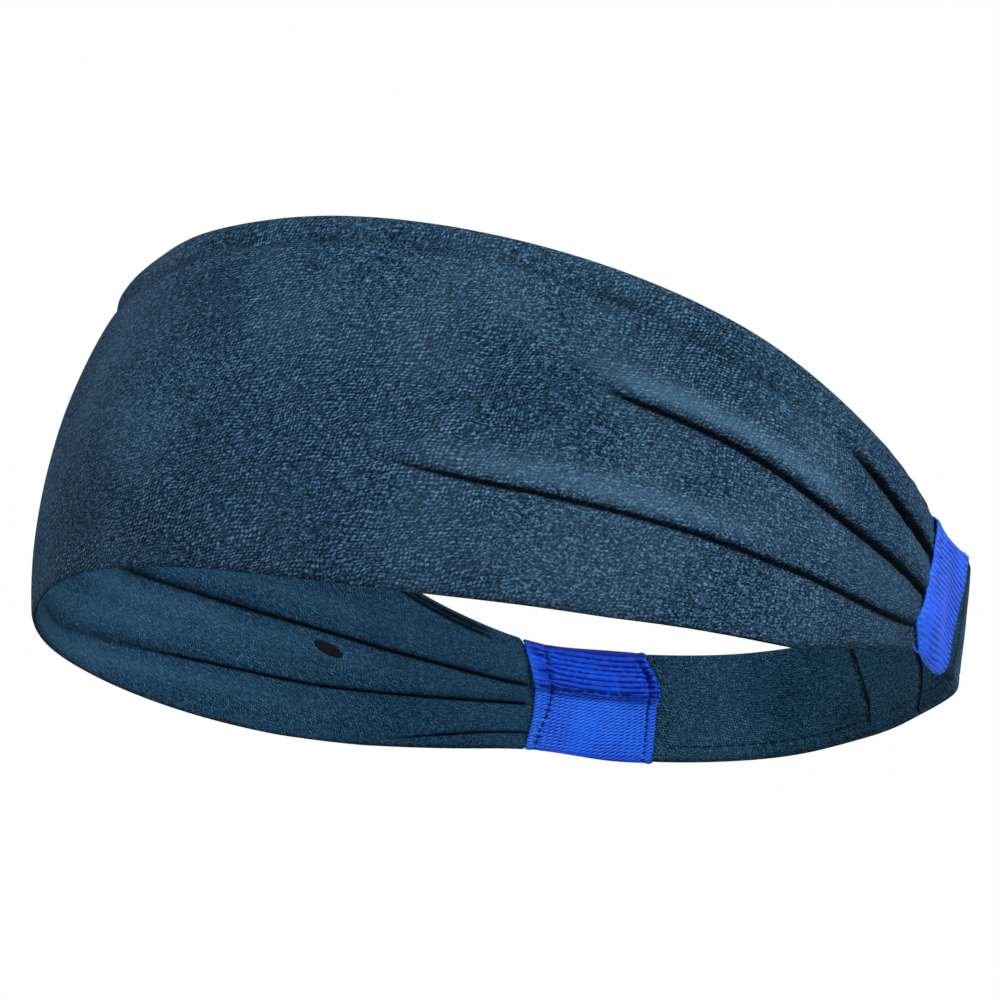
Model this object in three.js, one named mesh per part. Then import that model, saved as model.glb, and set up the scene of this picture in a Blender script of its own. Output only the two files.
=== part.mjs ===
// Sports headband: a wide double-ply stretch-knit front band, gathered into two
// grosgrain ribbon tabs, and closed behind the head by a narrow fabric-cased
// elastic strap. Units are millimetres, +Z is up, the forehead faces -Y, the
// rear strap is at +Y and the wearer's left is +X. The origin is the centre of
// the loop's bottom rim, on the plane the band rests on.
import * as THREE from "three";

const { clamp, degToRad, lerp, smoothstep } = THREE.MathUtils;

// In every section an "angle" is in degrees round the loop: 0 at the forehead,
// positive towards the wearer's left, 180 at the rear centre. A "share" runs up
// the wall, from 0 at the bottom rim to 1 at the top rim.

// ------------------------------------------------------------ the loop's shape
// Each rim's radius and height, every 10 degrees from -180 to 170. The rows
// start at -180, -90, 0 and 90 degrees.
const RIM_BOTTOM_RADIUS = [
  90.55, 91.16, 91.08, 89.87, 88.22, 87.08, 87.25, 88, 88.73,
  89.31, 89.75, 89.57, 89.52, 89.55, 89.4, 88.97, 88.71, 89.23,
  90.51, 91.57, 91.45, 90.36, 89.53, 89.83, 90.67, 90.89, 90.31,
  89.27, 88.59, 87.98, 87.47, 86.77, 89.11, 89.73, 88.6, 89.02,
];
const RIM_BOTTOM_HEIGHT = [
  2.39, 0.99, 0.24, -0.02, 0.54, 1.81, 1.21, 0.36, -0.18,
  0.22, 1.23, 2.43, 3.74, 5.03, 6.27, 7.39, 8.26, 8.71,
  8.62, 7.95, 6.67, 4.98, 3.27, 1.86, 0.8, -0.04, -0.4,
  -0.45, 1.58, 4.7, 6.69, 5.97, 5.5, 5.48, 4.4, 3.17,
];
const RIM_TOP_RADIUS = [
  87.3, 88.22, 88.75, 88.08, 86.56, 85.28, 84.9, 84.93, 84.47,
  83.56, 82.26, 81, 79.83, 78.7, 77.43, 76.03, 75.06, 75.2,
  76.36, 77.56, 77.82, 77.33, 77.28, 78.61, 80.59, 82.9, 84,
  84.92, 86.45, 87.94, 87.68, 87.51, 90.57, 91.03, 88.1, 86.79,
];
const RIM_TOP_HEIGHT = [
  24.69, 24.16, 23.8, 23.85, 24.18, 25.37, 29.66, 36, 44.6,
  53.27, 60.71, 66.35, 70.78, 73.87, 75.34, 75.18, 74.24, 73.51,
  73.4, 73.57, 73.63, 73.24, 72.06, 69.84, 66.86, 63.16, 59.08,
  54.04, 47.12, 39.59, 33.74, 31.21, 31.07, 30.33, 28.34, 26.36,
];
const PROFILE_POWER = 1.8; // how late up the height the wall leans in
const PROFILE_BULGE = 2.03; // outward belly of a wall BULGE_HEIGHT tall
const BULGE_HEIGHT = 60;
const MM_PER_DEGREE = degToRad(90); // arc length at a nominal 90 mm radius

const SPLINE_PASSES = 80; // sweeps that settle the spline's second derivatives
const NORMAL_ANGLE_STEP = 0.5; // half-spans over which the normal is measured
const NORMAL_SHARE_STEP = 0.01;

// A periodic cubic spline through values given at equal angles from -180.
function periodicSpline(values) {
  const count = values.length;
  const step = 360 / count;
  const bend = new Array(count).fill(0);
  for (let pass = 0; pass < SPLINE_PASSES; pass++)
    for (let i = 0; i < count; i++) {
      const before = (i + count - 1) % count;
      const after = (i + 1) % count;
      const pull = (6 / step ** 2) * (values[before] - 2 * values[i] + values[after]);
      bend[i] = (pull - bend[before] - bend[after]) / 4;
    }
  return (angle) => {
    const place = ((((angle + 180) % 360) + 360) % 360) / step;
    const i = Math.floor(place) % count;
    const next = (i + 1) % count;
    const nextWeight = place - Math.floor(place);
    const weight = 1 - nextWeight;
    const curve =
      (weight ** 3 - weight) * bend[i] + (nextWeight ** 3 - nextWeight) * bend[next];
    return weight * values[i] + nextWeight * values[next] + (curve * step ** 2) / 6;
  };
}
const rimBottomRadius = periodicSpline(RIM_BOTTOM_RADIUS);
const rimBottomHeight = periodicSpline(RIM_BOTTOM_HEIGHT);
const rimTopRadius = periodicSpline(RIM_TOP_RADIUS);
const rimTopHeight = periodicSpline(RIM_TOP_HEIGHT);

// A point on the middle surface of the strip between the rims.
function middle(angle, share) {
  const bottom = rimBottomHeight(angle);
  const height = rimTopHeight(angle) - bottom;
  const within = clamp(share, 0, 1);
  const low = rimBottomRadius(angle);
  const lean = (low - rimTopRadius(angle)) * within ** PROFILE_POWER;
  const bulge = PROFILE_BULGE * (height / BULGE_HEIGHT) ** 2 * 4 * within * (1 - within);
  const radius = low - lean + bulge;
  const turn = degToRad(angle);
  return new THREE.Vector3(
    radius * Math.sin(turn),
    -radius * Math.cos(turn),
    bottom + height * share,
  );
}

// The middle surface's outward normal.
function outward(angle, share) {
  const within = clamp(share, NORMAL_SHARE_STEP, 1 - NORMAL_SHARE_STEP);
  const along = middle(angle + NORMAL_ANGLE_STEP, within)
    .sub(middle(angle - NORMAL_ANGLE_STEP, within));
  const up = middle(angle, within + NORMAL_SHARE_STEP)
    .sub(middle(angle, within - NORMAL_SHARE_STEP));
  return along.cross(up).normalize();
}

const heightAt = (angle) => middle(angle, 1).distanceTo(middle(angle, 0));

// A point off the middle surface, outwards when off is positive.
const offset = (angle, share, off) =>
  middle(angle, share).addScaledVector(outward(angle, share), off);

// ------------------------------------------------------------ solid builders
// A closed body from vertices and triangles.
function closedBody(points, triangles) {
  const geometry = new THREE.BufferGeometry().setFromPoints(points);
  geometry.setIndex(triangles);
  geometry.computeVertexNormals();
  return geometry;
}

const pushQuad = (triangles, a, b, c, d) => triangles.push(a, b, c, a, c, d);

// A sheet with thickness. frontPoint and backPoint give a point for indices i
// and j; i runs round the loop and j up it, so that i x j points to the front.
function sheet(countI, countJ, frontPoint, backPoint) {
  const points = [];
  for (const facePoint of [frontPoint, backPoint])
    for (let i = 0; i <= countI; i++)
      for (let j = 0; j <= countJ; j++) points.push(facePoint(i, j));

  const row = countJ + 1;
  const front = (i, j) => i * row + j;
  const back = (i, j) => (countI + 1) * row + front(i, j);
  const triangles = [];
  const quad = (...corners) => pushQuad(triangles, ...corners);
  for (let i = 0; i < countI; i++)
    for (let j = 0; j < countJ; j++) {
      quad(front(i, j), front(i + 1, j), front(i + 1, j + 1), front(i, j + 1));
      quad(back(i, j), back(i, j + 1), back(i + 1, j + 1), back(i + 1, j));
    }
  for (let i = 0; i < countI; i++) {
    quad(front(i, 0), back(i, 0), back(i + 1, 0), front(i + 1, 0));
    quad(front(i, countJ), front(i + 1, countJ), back(i + 1, countJ), back(i, countJ));
  }
  for (let j = 0; j < countJ; j++) {
    quad(front(0, j), front(0, j + 1), back(0, j + 1), back(0, j));
    quad(front(countI, j), back(countI, j), back(countI, j + 1), front(countI, j + 1));
  }
  return closedBody(points, triangles);
}

// The points before and after point i of a path, or the point itself at an end.
const neighbours = (path, i) => [
  path[Math.max(i - 1, 0)],
  path[Math.min(i + 1, path.length - 1)],
];

// ------------------------------------------------------------ threads
const THREAD = 0.18; // thread radius
const THREAD_SIDES = 5;
const THREAD_CLEAR = 0.06; // thread above the cloth it lies on
const STITCH = 2.5; // stitch length
const STITCH_WAVE = 0.1; // rise of the thread over each stitch
const STEEP = 0.8; // rise per length above which a thread counts as upright

// A round thread along a path of points.
function thread(path, radius, sides) {
  const points = [];
  const up = new THREE.Vector3(0, 0, 1);
  path.forEach((centre, i) => {
    const [behind, ahead] = neighbours(path, i);
    const along = ahead.clone().sub(behind).normalize();
    const reference =
      Math.abs(along.dot(up)) > STEEP
        ? new THREE.Vector3(centre.x, centre.y, 0).normalize()
        : up;
    const across = new THREE.Vector3().crossVectors(along, reference).normalize();
    const third = new THREE.Vector3().crossVectors(along, across);
    for (let k = 0; k < sides; k++) {
      const turn = (2 * Math.PI * k) / sides;
      points.push(
        centre
          .clone()
          .addScaledVector(across, radius * Math.cos(turn))
          .addScaledVector(third, radius * Math.sin(turn)),
      );
    }
  });

  const triangles = [];
  const last = (path.length - 1) * sides;
  for (let ring = 0; ring < last; ring += sides)
    for (let k = 0; k < sides; k++) {
      const next = (k + 1) % sides;
      const nextRing = ring + sides;
      pushQuad(triangles, ring + k, ring + next, nextRing + next, nextRing + k);
    }
  for (let k = 1; k + 1 < sides; k++) {
    triangles.push(0, k + 1, k);
    triangles.push(last, last + k, last + k + 1);
  }
  return closedBody(points, triangles);
}

// A stitch row of count segments, rising at every other point. pointAt gives
// the point at a share of the row, lifted off the cloth.
function stitchRow(count, pointAt, clear = THREAD_CLEAR) {
  const path = [];
  for (let k = 0; k <= count; k++) {
    const lift = THREAD + clear + (k % 2 ? STITCH_WAVE : 0);
    path.push(pointAt(k / count, lift));
  }
  return thread(path, THREAD, THREAD_SIDES);
}

// Two segments per stitch, for a row of the given length.
const stitchSegments = (length) => 2 * Math.round(length / STITCH);

// ------------------------------------------------------------ where the tabs are
// Angles of each tab's two ends at its bottom and top edge. "from" is the end
// that takes the band, "to" the end that takes the strap.
const LEFT_TAB = { fromBottom: 114.77, fromTop: 121.88, toBottom: 131.58, toTop: 137.76 };
const RIGHT_TAB = { fromBottom: -128.89, fromTop: -127.74, toBottom: -147.05, toTop: -145.68 };
const BAND_REACH = 0.46; // how far into a tab the band runs, as a share
const STRAP_REACH = 0.54; // where in a tab the strap starts
const TAB_INSET = 1.3; // how far band and strap draw in from a tab's edges
const DRAW_IN_FROM = 0.3; // distances from a tab's mouth between which the
const DRAW_IN_TO = 4; // band and strap widen again

// The angle of the point a given share along a tab, from band to strap.
function tabAngle(tab, along, share) {
  const within = clamp(share, 0, 1);
  return lerp(
    lerp(tab.fromBottom, tab.fromTop, within),
    lerp(tab.toBottom, tab.toTop, within),
    along,
  );
}

const tabHeight = (tab, along) => heightAt(tabAngle(tab, along, 0.5));

// Inset of a cloth edge from the rim, at a distance from the nearer tab's mouth.
const edgeInset = (distance, openInset) =>
  lerp(TAB_INSET, openInset, smoothstep(distance, DRAW_IN_FROM, DRAW_IN_TO));

// ------------------------------------------------------------ the front band
const KNIT = 0.5; // one ply of the stretch knit
const PLY_GAP = 0.08; // half the gap between the two plies of the front band
const SEAM_GAP = 0.3; // half that gap along the sewn edges, round the seam
const GATHER_LENGTH = 35; // length over which the band thickens into its pleats
const GATHERED_HALF = 1.15; // half the thickness of the pleated end

const BAND_COLUMNS = 64;
const COLUMN_CROWDING = 0.6; // how much the columns crowd towards the tabs
const BAND_ROWS = [0, 0.03, 0.12, 0.3, 0.5, 0.7, 0.88, 0.94, 1]; // shares
const BOTTOM_SEAM_ROW = BAND_ROWS[1]; // the sewn edges lie below this row
const TOP_SEAM_ROW = BAND_ROWS[7]; // and above this one
const EDGE_SEAM = { radius: THREAD - 0.02, sides: 4, bottomShare: 0.015, topShare: 0.97 };

// A point of the band at column i. offAt(share, gathered) gives its offset from
// the middle surface, where gathered goes from 0 to 1 towards the tabs.
function bandPoint(i, share, offAt) {
  const place = i / BAND_COLUMNS;
  const across = place - (COLUMN_CROWDING * Math.sin(2 * Math.PI * place)) / (2 * Math.PI);
  const angle = lerp(
    tabAngle(RIGHT_TAB, BAND_REACH, share),
    tabAngle(LEFT_TAB, BAND_REACH, share),
    across,
  );
  // Distance from the nearer tab's mouth; negative inside the tab.
  const distance = Math.min(
    (tabAngle(LEFT_TAB, 0, share) - angle) * MM_PER_DEGREE,
    (angle - tabAngle(RIGHT_TAB, 0, share)) * MM_PER_DEGREE,
  );
  const inset = edgeInset(distance, 0) / heightAt(angle);
  const gathered = 1 - smoothstep(distance, 0, GATHER_LENGTH);
  const point = offset(angle, lerp(inset, 1 - inset, share), offAt(share, gathered));
  point.z = Math.max(point.z, 0); // stays on the plane the band rests on
  return point;
}

// A ply's two faces, as distances from the middle surface.
const plyNear = (share) =>
  share <= BOTTOM_SEAM_ROW || share >= TOP_SEAM_ROW ? SEAM_GAP : PLY_GAP;
const plyFar = (share, gathered) => lerp(plyNear(share) + KNIT, GATHERED_HALF, gathered);

function bandPly(frontOff, backOff) {
  const face = (offAt) => (i, j) => bandPoint(i, BAND_ROWS[j], offAt);
  return sheet(BAND_COLUMNS, BAND_ROWS.length - 1, face(frontOff), face(backOff));
}
const outerPanel = () => bandPly(plyFar, plyNear);
const innerPanel = () =>
  bandPly(
    (share) => -plyNear(share),
    (share, gathered) => -plyFar(share, gathered),
  );

// A thread that joins the two plies, hidden between them along an edge.
function bandEdgeSeam(share) {
  const path = [];
  for (let i = 1; i < BAND_COLUMNS; i++) path.push(bandPoint(i, share, () => 0));
  return thread(path, EDGE_SEAM.radius, EDGE_SEAM.sides);
}

// ------------------------------------------------------------ the oval mark
const MARK = {
  angle: -99.2, share: 0.447, halfLength: 3.5, halfHeight: 1.35, thickness: 0.12, clear: 0.2,
};
const MARK_RINGS = 3;
const MARK_SIDES = 20;
const MARK_MM_PER_DEGREE = degToRad(88);

// A plain oval transfer on the inner ply, a little patch that follows the wall.
function ovalMark() {
  const height = heightAt(MARK.angle);
  const near = -(PLY_GAP + KNIT + MARK.clear);
  const points = [];
  for (const off of [near, near - MARK.thickness])
    for (let ring = 0; ring <= MARK_RINGS; ring++)
      for (let k = 0; k < (ring ? MARK_SIDES : 1); k++) {
        const turn = (2 * Math.PI * k) / MARK_SIDES;
        const size = ring / MARK_RINGS;
        const along = (MARK.halfLength * Math.cos(turn)) / MARK_MM_PER_DEGREE;
        const up = (MARK.halfHeight * Math.sin(turn)) / height;
        points.push(offset(MARK.angle + along * size, MARK.share + up * size, off));
      }

  const near0 = (ring, k) => (ring ? 1 + (ring - 1) * MARK_SIDES + (k % MARK_SIDES) : 0);
  const far0 = (ring, k) => 1 + MARK_RINGS * MARK_SIDES + near0(ring, k);
  const triangles = [];
  const quad = (...corners) => pushQuad(triangles, ...corners);
  for (let k = 0; k < MARK_SIDES; k++) {
    const next = k + 1;
    triangles.push(near0(0, 0), near0(1, k), near0(1, next));
    triangles.push(far0(0, 0), far0(1, next), far0(1, k));
    for (let ring = 1; ring < MARK_RINGS; ring++) {
      const wider = ring + 1;
      quad(near0(ring, k), near0(wider, k), near0(wider, next), near0(ring, next));
      quad(far0(ring, k), far0(ring, next), far0(wider, next), far0(wider, k));
    }
    quad(
      near0(MARK_RINGS, k), far0(MARK_RINGS, k),
      far0(MARK_RINGS, next), near0(MARK_RINGS, next),
    );
  }
  return closedBody(points, triangles);
}

// ------------------------------------------------------------ the ribbon tabs
const RIBBON = 0.6; // grosgrain ribbon thickness
const TAB_HALF_PANEL = 1.65; // half the hollow of a tab, on the band's side
const TAB_HALF_STRAP = 1.35; // and on the strap's side
const TAPER_FROM = 0.45; // shares along a tab between which the hollow narrows
const TAPER_TO = 0.75;
const TAB_FOLD = 1.2; // depth of the ribbon's fold at the tab's two edges
const FOLD_SEGMENTS = 6;
const TAB_COLUMNS = 7;

const LAP_AT = 0.57; // height of the ribbon's lapped end, as a share
const LAP_LENGTH = 4; // how far the ribbon's ends overlap
const LAP_STEP = RIBBON + 0.15; // ribbon and gap the covering end steps over
const LAP_STEP_FROM = 1.8; // height above the lap where that step starts
const LAP_STEP_TO = 0.6; // and where it ends

// Where the stitches see the step: from below to above the covering end.
const LAP_FACE = { lowFrom: -1.4, lowTo: -0.4, highFrom: 1.2, highTo: 3 };
const PANEL_ROW_AT = 0.12; // upright rows of stitches, as shares along a tab
const STRAP_ROW_AT = 0.88;
const UP_ROW_MARGIN = 2.2; // from those rows' ends to the tab's edges
const LAP_ROW = { from: 0.17, to: 0.83, length: 18, aboveLap: 1.6 };
const GATHER_ROW = { at: 0.28, margin: 3, segments: 10 };

const tabHalf = (along) =>
  lerp(TAB_HALF_PANEL, TAB_HALF_STRAP, smoothstep(along, TAPER_FROM, TAPER_TO));

// The ribbon's path round a tab in (height above the bottom edge, offset),
// along its middle: from its covered end down the inner face, round the bottom
// edge, up the outer face, over the top edge and down to the lap.
function ribbonPath(height, half) {
  const face = half + RIBBON / 2;
  const low = TAB_FOLD + RIBBON / 2;
  const high = height - low;
  const lap = LAP_AT * height;
  const stepTop = lap + LAP_LENGTH + LAP_STEP_FROM;
  // A half turn: side is -1 round the bottom edge and 1 round the top one.
  const fold = (centre, side) =>
    Array.from({ length: FOLD_SEGMENTS + 1 }, (_, k) => {
      const turn = (Math.PI * k) / FOLD_SEGMENTS;
      return [centre + side * TAB_FOLD * Math.sin(turn), side * face * Math.cos(turn)];
    });
  return [
    [lap + LAP_LENGTH, -face],
    [lap + LAP_LENGTH / 2, -face],
    [lap, -face],
    [lerp(low, lap, 0.5), -face],
    ...fold(low, -1),
    ...[0.25, 0.5, 0.75].map((rise) => [lerp(low, high, rise), face]),
    ...fold(high, 1),
    [lerp(high, stepTop, 0.5), -face],
    [stepTop, -face],
    [lap + LAP_LENGTH + LAP_STEP_TO, -face - LAP_STEP],
    [lap + LAP_LENGTH / 2, -face - LAP_STEP],
    [lap, -face - LAP_STEP],
  ];
}

// A point of a tab: along it as a share, up it and off it in millimetres.
function tabPoint(tab, along, up, off) {
  const share = up / tabHeight(tab, along);
  return offset(tabAngle(tab, along, share), share, off);
}

function ribbonTab(tab) {
  // The left tab runs with the angle from band to strap, the right one against it.
  const forward = tab.toBottom > tab.fromBottom;
  const alongOf = (i) => (forward ? i : TAB_COLUMNS - i) / TAB_COLUMNS;
  const columns = [];
  for (let i = 0; i <= TAB_COLUMNS; i++) {
    const along = alongOf(i);
    columns.push(ribbonPath(tabHeight(tab, along), tabHalf(along)));
  }
  const face = (side) => (i, j) => {
    const [up, off] = columns[i][j];
    const [behind, ahead] = neighbours(columns[i], j);
    const rise = ahead[0] - behind[0];
    const run = ahead[1] - behind[1];
    const reach = (side * RIBBON) / 2 / Math.hypot(rise, run);
    return tabPoint(tab, alongOf(i), up - run * reach, off + rise * reach);
  };
  return sheet(TAB_COLUMNS, columns[0].length - 1, face(1), face(-1));
}

// How far in a tab's inner face lies, at a height: it steps at the lap.
function tabInnerFace(tab, along, up) {
  const aboveLap = up - LAP_AT * tabHeight(tab, along);
  const raised =
    smoothstep(aboveLap, LAP_FACE.lowFrom, LAP_FACE.lowTo) *
    (1 - smoothstep(aboveLap - LAP_LENGTH, LAP_FACE.highFrom, LAP_FACE.highTo));
  return tabHalf(along) + RIBBON + raised * LAP_STEP;
}

// A stitch row up a tab's inner face, a given share along the tab.
function tabUpStitch(tab, along) {
  const height = tabHeight(tab, along);
  const count = stitchSegments(height - 2 * UP_ROW_MARGIN);
  return stitchRow(count, (place, lift) => {
    const up = lerp(UP_ROW_MARGIN, height - UP_ROW_MARGIN, place);
    return tabPoint(tab, along, up, -(tabInnerFace(tab, along, up) + lift));
  });
}

// The row along the tab that holds the ribbon's lapped end.
function tabLapStitch(tab) {
  return stitchRow(stitchSegments(LAP_ROW.length), (place, lift) => {
    const along = lerp(LAP_ROW.from, LAP_ROW.to, place);
    const up = LAP_AT * tabHeight(tab, along) + LAP_ROW.aboveLap;
    return tabPoint(tab, along, up, -(tabHalf(along) + RIBBON + LAP_STEP + lift));
  });
}

// The thread that holds the band's pleats together, inside a tab.
function gatherStitch(tab) {
  const { at, margin, segments } = GATHER_ROW;
  const top = tabHeight(tab, at) - margin;
  const off = GATHERED_HALF + THREAD_CLEAR + THREAD;
  const path = [];
  for (let k = 0; k <= segments; k++)
    path.push(tabPoint(tab, at, lerp(margin, top, k / segments), off));
  return thread(path, THREAD, THREAD_SIDES);
}

// ------------------------------------------------------------ the rear strap
const STRAP_INSET = 0.25; // strap edge inside the rims between the tabs
const CASING_NEAR = 0.62; // from the strap's middle to the casing's inside
const CASING_FAR = CASING_NEAR + 0.5; // and to its outside, one ply further
const ELASTIC_HALF = 0.5; // half the thickness of the woven elastic
const ELASTIC_INSET = 1.0; // casing beyond the elastic's edge
const ELASTIC_REACH = STRAP_REACH + 0.06; // where in a tab the elastic starts

const STRAP_COLUMNS = 28;
const STRAP_ROWS = [0, 0.25, 0.5, 0.75, 1]; // shares

// Stitch rows on the strap's inner face: one along it and one across it.
const CASING_SEAM = { angles: [144, 208], shares: [0.15, 0.15], segments: 36 };
const CROSS_SEAM = { angles: [158.6, 158.6], shares: [0.24, 0.92], segments: 12 };

function strapPoint(i, share, off, extraInset, reach) {
  const angle = lerp(
    tabAngle(LEFT_TAB, reach, share),
    tabAngle(RIGHT_TAB, reach, share) + 360,
    i / STRAP_COLUMNS,
  );
  // Distance from the nearer tab's mouth; negative inside the tab.
  const distance = Math.min(
    (angle - tabAngle(LEFT_TAB, 1, share)) * MM_PER_DEGREE,
    (tabAngle(RIGHT_TAB, 1, share) + 360 - angle) * MM_PER_DEGREE,
  );
  const inset = (edgeInset(distance, STRAP_INSET) + extraInset) / heightAt(angle);
  return offset(angle, lerp(inset, 1 - inset, share), off);
}

// A layer of the strap between two offsets, the second further out.
function strapLayer(innerOff, outerOff, extraInset = 0, reach = STRAP_REACH) {
  const face = (off) => (i, j) => strapPoint(i, STRAP_ROWS[j], off, extraInset, reach);
  return sheet(STRAP_COLUMNS, STRAP_ROWS.length - 1, face(outerOff), face(innerOff));
}

const elasticCore = () =>
  strapLayer(-ELASTIC_HALF, ELASTIC_HALF, ELASTIC_INSET, ELASTIC_REACH);

function strapStitch({ angles, shares, segments }) {
  const pointAt = (place, lift) =>
    offset(lerp(...angles, place), lerp(...shares, place), -(CASING_FAR + lift));
  return stitchRow(segments, pointAt, 2 * THREAD_CLEAR);
}

// ------------------------------------------------------------ the assembly
const LOOKS = {
  knit: { color: 0x2b4a63, roughness: 0.92, metalness: 0 },
  knitInside: { color: 0x24425c, roughness: 0.94, metalness: 0 },
  ribbon: { color: 0x2c5cd6, roughness: 0.62, metalness: 0 },
  elastic: { color: 0x1c2a36, roughness: 0.85, metalness: 0 },
  thread: { color: 0x14202c, roughness: 0.7, metalness: 0 },
  ribbonThread: { color: 0x16307c, roughness: 0.7, metalness: 0 },
  mark: { color: 0x0d1218, roughness: 0.55, metalness: 0 },
};

function piece(name, geometry, look) {
  const mesh = new THREE.Mesh(geometry, new THREE.MeshStandardMaterial(LOOKS[look]));
  mesh.name = name;
  return mesh;
}

const frontBand = new THREE.Group();
frontBand.add(
  piece("outer_panel", outerPanel(), "knit"),
  piece("inner_panel", innerPanel(), "knitInside"),
  piece("top_edge_seam", bandEdgeSeam(EDGE_SEAM.topShare), "thread"),
  piece("bottom_edge_seam", bandEdgeSeam(EDGE_SEAM.bottomShare), "thread"),
  piece("inner_mark", ovalMark(), "mark"),
);
for (const [side, tab] of Object.entries({ left: LEFT_TAB, right: RIGHT_TAB }))
  frontBand.add(
    piece(`${side}_tab`, ribbonTab(tab), "ribbon"),
    piece(`${side}_gather_stitch`, gatherStitch(tab), "thread"),
    piece(`${side}_tab_panel_stitch`, tabUpStitch(tab, PANEL_ROW_AT), "ribbonThread"),
    piece(`${side}_tab_strap_stitch`, tabUpStitch(tab, STRAP_ROW_AT), "ribbonThread"),
    piece(`${side}_tab_overlap_stitch`, tabLapStitch(tab), "ribbonThread"),
  );

const rearStrap = new THREE.Group();
rearStrap.add(
  piece("strap_casing_outer", strapLayer(CASING_NEAR, CASING_FAR), "knit"),
  piece("strap_casing_inner", strapLayer(-CASING_FAR, -CASING_NEAR), "knitInside"),
  piece("elastic_core", elasticCore(), "elastic"),
  piece("strap_casing_seam", strapStitch(CASING_SEAM), "thread"),
  piece("strap_cross_seam", strapStitch(CROSS_SEAM), "thread"),
);

const headband = new THREE.Group();
headband.add(frontBand, rearStrap);
export default headband;
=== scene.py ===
# Sports headband: detailed cloth, ribbon and thread built round the CAD pieces, with a studio.
# The loop stands on z = 0 round the Z axis. The tall front band faces -Y and the elastic strap
# crosses +Y, joined by a ribbon tab on each side (left at +X, right at -X).
# Geometry is in millimetres until a mesh is made. A place on the loop is given by:
#   angle  degrees round the loop from -Y, positive towards +X
#   rise   share of the loop's height, 0 at the bottom rim and 1 at the top rim
#   off    millimetres outward from the middle surface, negative towards the wearer
import math
from dataclasses import dataclass

import bpy
import numpy as np
from mathutils import Matrix, Vector


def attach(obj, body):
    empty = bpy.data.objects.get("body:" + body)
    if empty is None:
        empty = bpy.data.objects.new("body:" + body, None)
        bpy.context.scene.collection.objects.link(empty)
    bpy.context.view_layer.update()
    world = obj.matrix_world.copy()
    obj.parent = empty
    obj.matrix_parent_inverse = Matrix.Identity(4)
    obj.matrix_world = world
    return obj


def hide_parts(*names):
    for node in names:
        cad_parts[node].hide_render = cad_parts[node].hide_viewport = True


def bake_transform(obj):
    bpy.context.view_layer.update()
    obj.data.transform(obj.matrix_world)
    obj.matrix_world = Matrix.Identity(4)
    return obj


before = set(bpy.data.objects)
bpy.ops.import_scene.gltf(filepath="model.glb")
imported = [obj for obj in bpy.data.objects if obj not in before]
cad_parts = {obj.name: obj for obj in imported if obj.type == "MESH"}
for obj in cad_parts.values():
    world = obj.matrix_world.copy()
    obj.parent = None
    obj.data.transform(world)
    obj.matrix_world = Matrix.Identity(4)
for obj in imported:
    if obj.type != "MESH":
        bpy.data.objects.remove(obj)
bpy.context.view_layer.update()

METRES_PER_MM = 0.001

# ------------------------------------------------------------------ the loop
# Both rims at every 10 degrees, from -180 to 170: radius from the Z axis, and z
RIM_BOTTOM_RADIUS = [
    90.55, 91.16, 91.08, 89.87, 88.22, 87.08, 87.25, 88, 88.73, 89.31, 89.75, 89.57,
    89.52, 89.55, 89.4, 88.97, 88.71, 89.23, 90.51, 91.57, 91.45, 90.36, 89.53, 89.83,
    90.67, 90.89, 90.31, 89.27, 88.59, 87.98, 87.47, 86.77, 89.11, 89.73, 88.6, 89.02,
]
RIM_BOTTOM_HEIGHT = [
    2.39, 0.99, 0.24, -0.02, 0.54, 1.81, 1.21, 0.36, -0.18, 0.22, 1.23, 2.43,
    3.74, 5.03, 6.27, 7.39, 8.26, 8.71, 8.62, 7.95, 6.67, 4.98, 3.27, 1.86,
    0.8, -0.04, -0.4, -0.45, 1.58, 4.7, 6.69, 5.97, 5.5, 5.48, 4.4, 3.17,
]
RIM_TOP_RADIUS = [
    87.3, 88.22, 88.75, 88.08, 86.56, 85.28, 84.9, 84.93, 84.47, 83.56, 82.26, 81,
    79.83, 78.7, 77.43, 76.03, 75.06, 75.2, 76.36, 77.56, 77.82, 77.33, 77.28, 78.61,
    80.59, 82.9, 84, 84.92, 86.45, 87.94, 87.68, 87.51, 90.57, 91.03, 88.1, 86.79,
]
RIM_TOP_HEIGHT = [
    24.69, 24.16, 23.8, 23.85, 24.18, 25.37, 29.66, 36, 44.6, 53.27, 60.71, 66.35,
    70.78, 73.87, 75.34, 75.18, 74.24, 73.51, 73.4, 73.57, 73.63, 73.24, 72.06, 69.84,
    66.86, 63.16, 59.08, 54.04, 47.12, 39.59, 33.74, 31.21, 31.07, 30.33, 28.34, 26.36,
]
FULL_HEIGHT = 60  # the height at which the wall has its full bulge
PROFILE_POWER, PROFILE_BULGE = 1.8, 2.03
MM_PER_DEGREE = math.radians(1) * 90

# Angles of each tab: band side bottom, band side top, strap side bottom, strap side top
LEFT_TAB = (114.77, 121.88, 131.58, 137.76)
RIGHT_TAB = (-128.89, -127.74, -147.05, -145.68)
TAB_INSET, GATHERED_HALF = 1.3, 1.15
RIBBON, RIBBON_WIDTH = 0.6, 25.4  # thickness and width
TAB_HALF_PANEL, TAB_HALF_STRAP, TAB_FOLD = 1.65, 1.35, 1.2
LAP_AT, LAP_LENGTH, LAP_GAP = 0.57, 4.0, 0.15  # where the ribbon's ends overlap
BAND_REACH, STRAP_REACH = 0.46, 0.54  # how far across a tab the band and the strap end
HEM_DROP = 2.1  # the roll of the top edge on the inner face
STRAP_HALF = 1.12  # half the strap casing's thickness
CASING_RISE, CASING_FROM, CASING_TO = 0.15, 141.5, 211.0  # the seam along the strap
CORD_PITCH = 1.1  # of the elastic's cords


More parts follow.
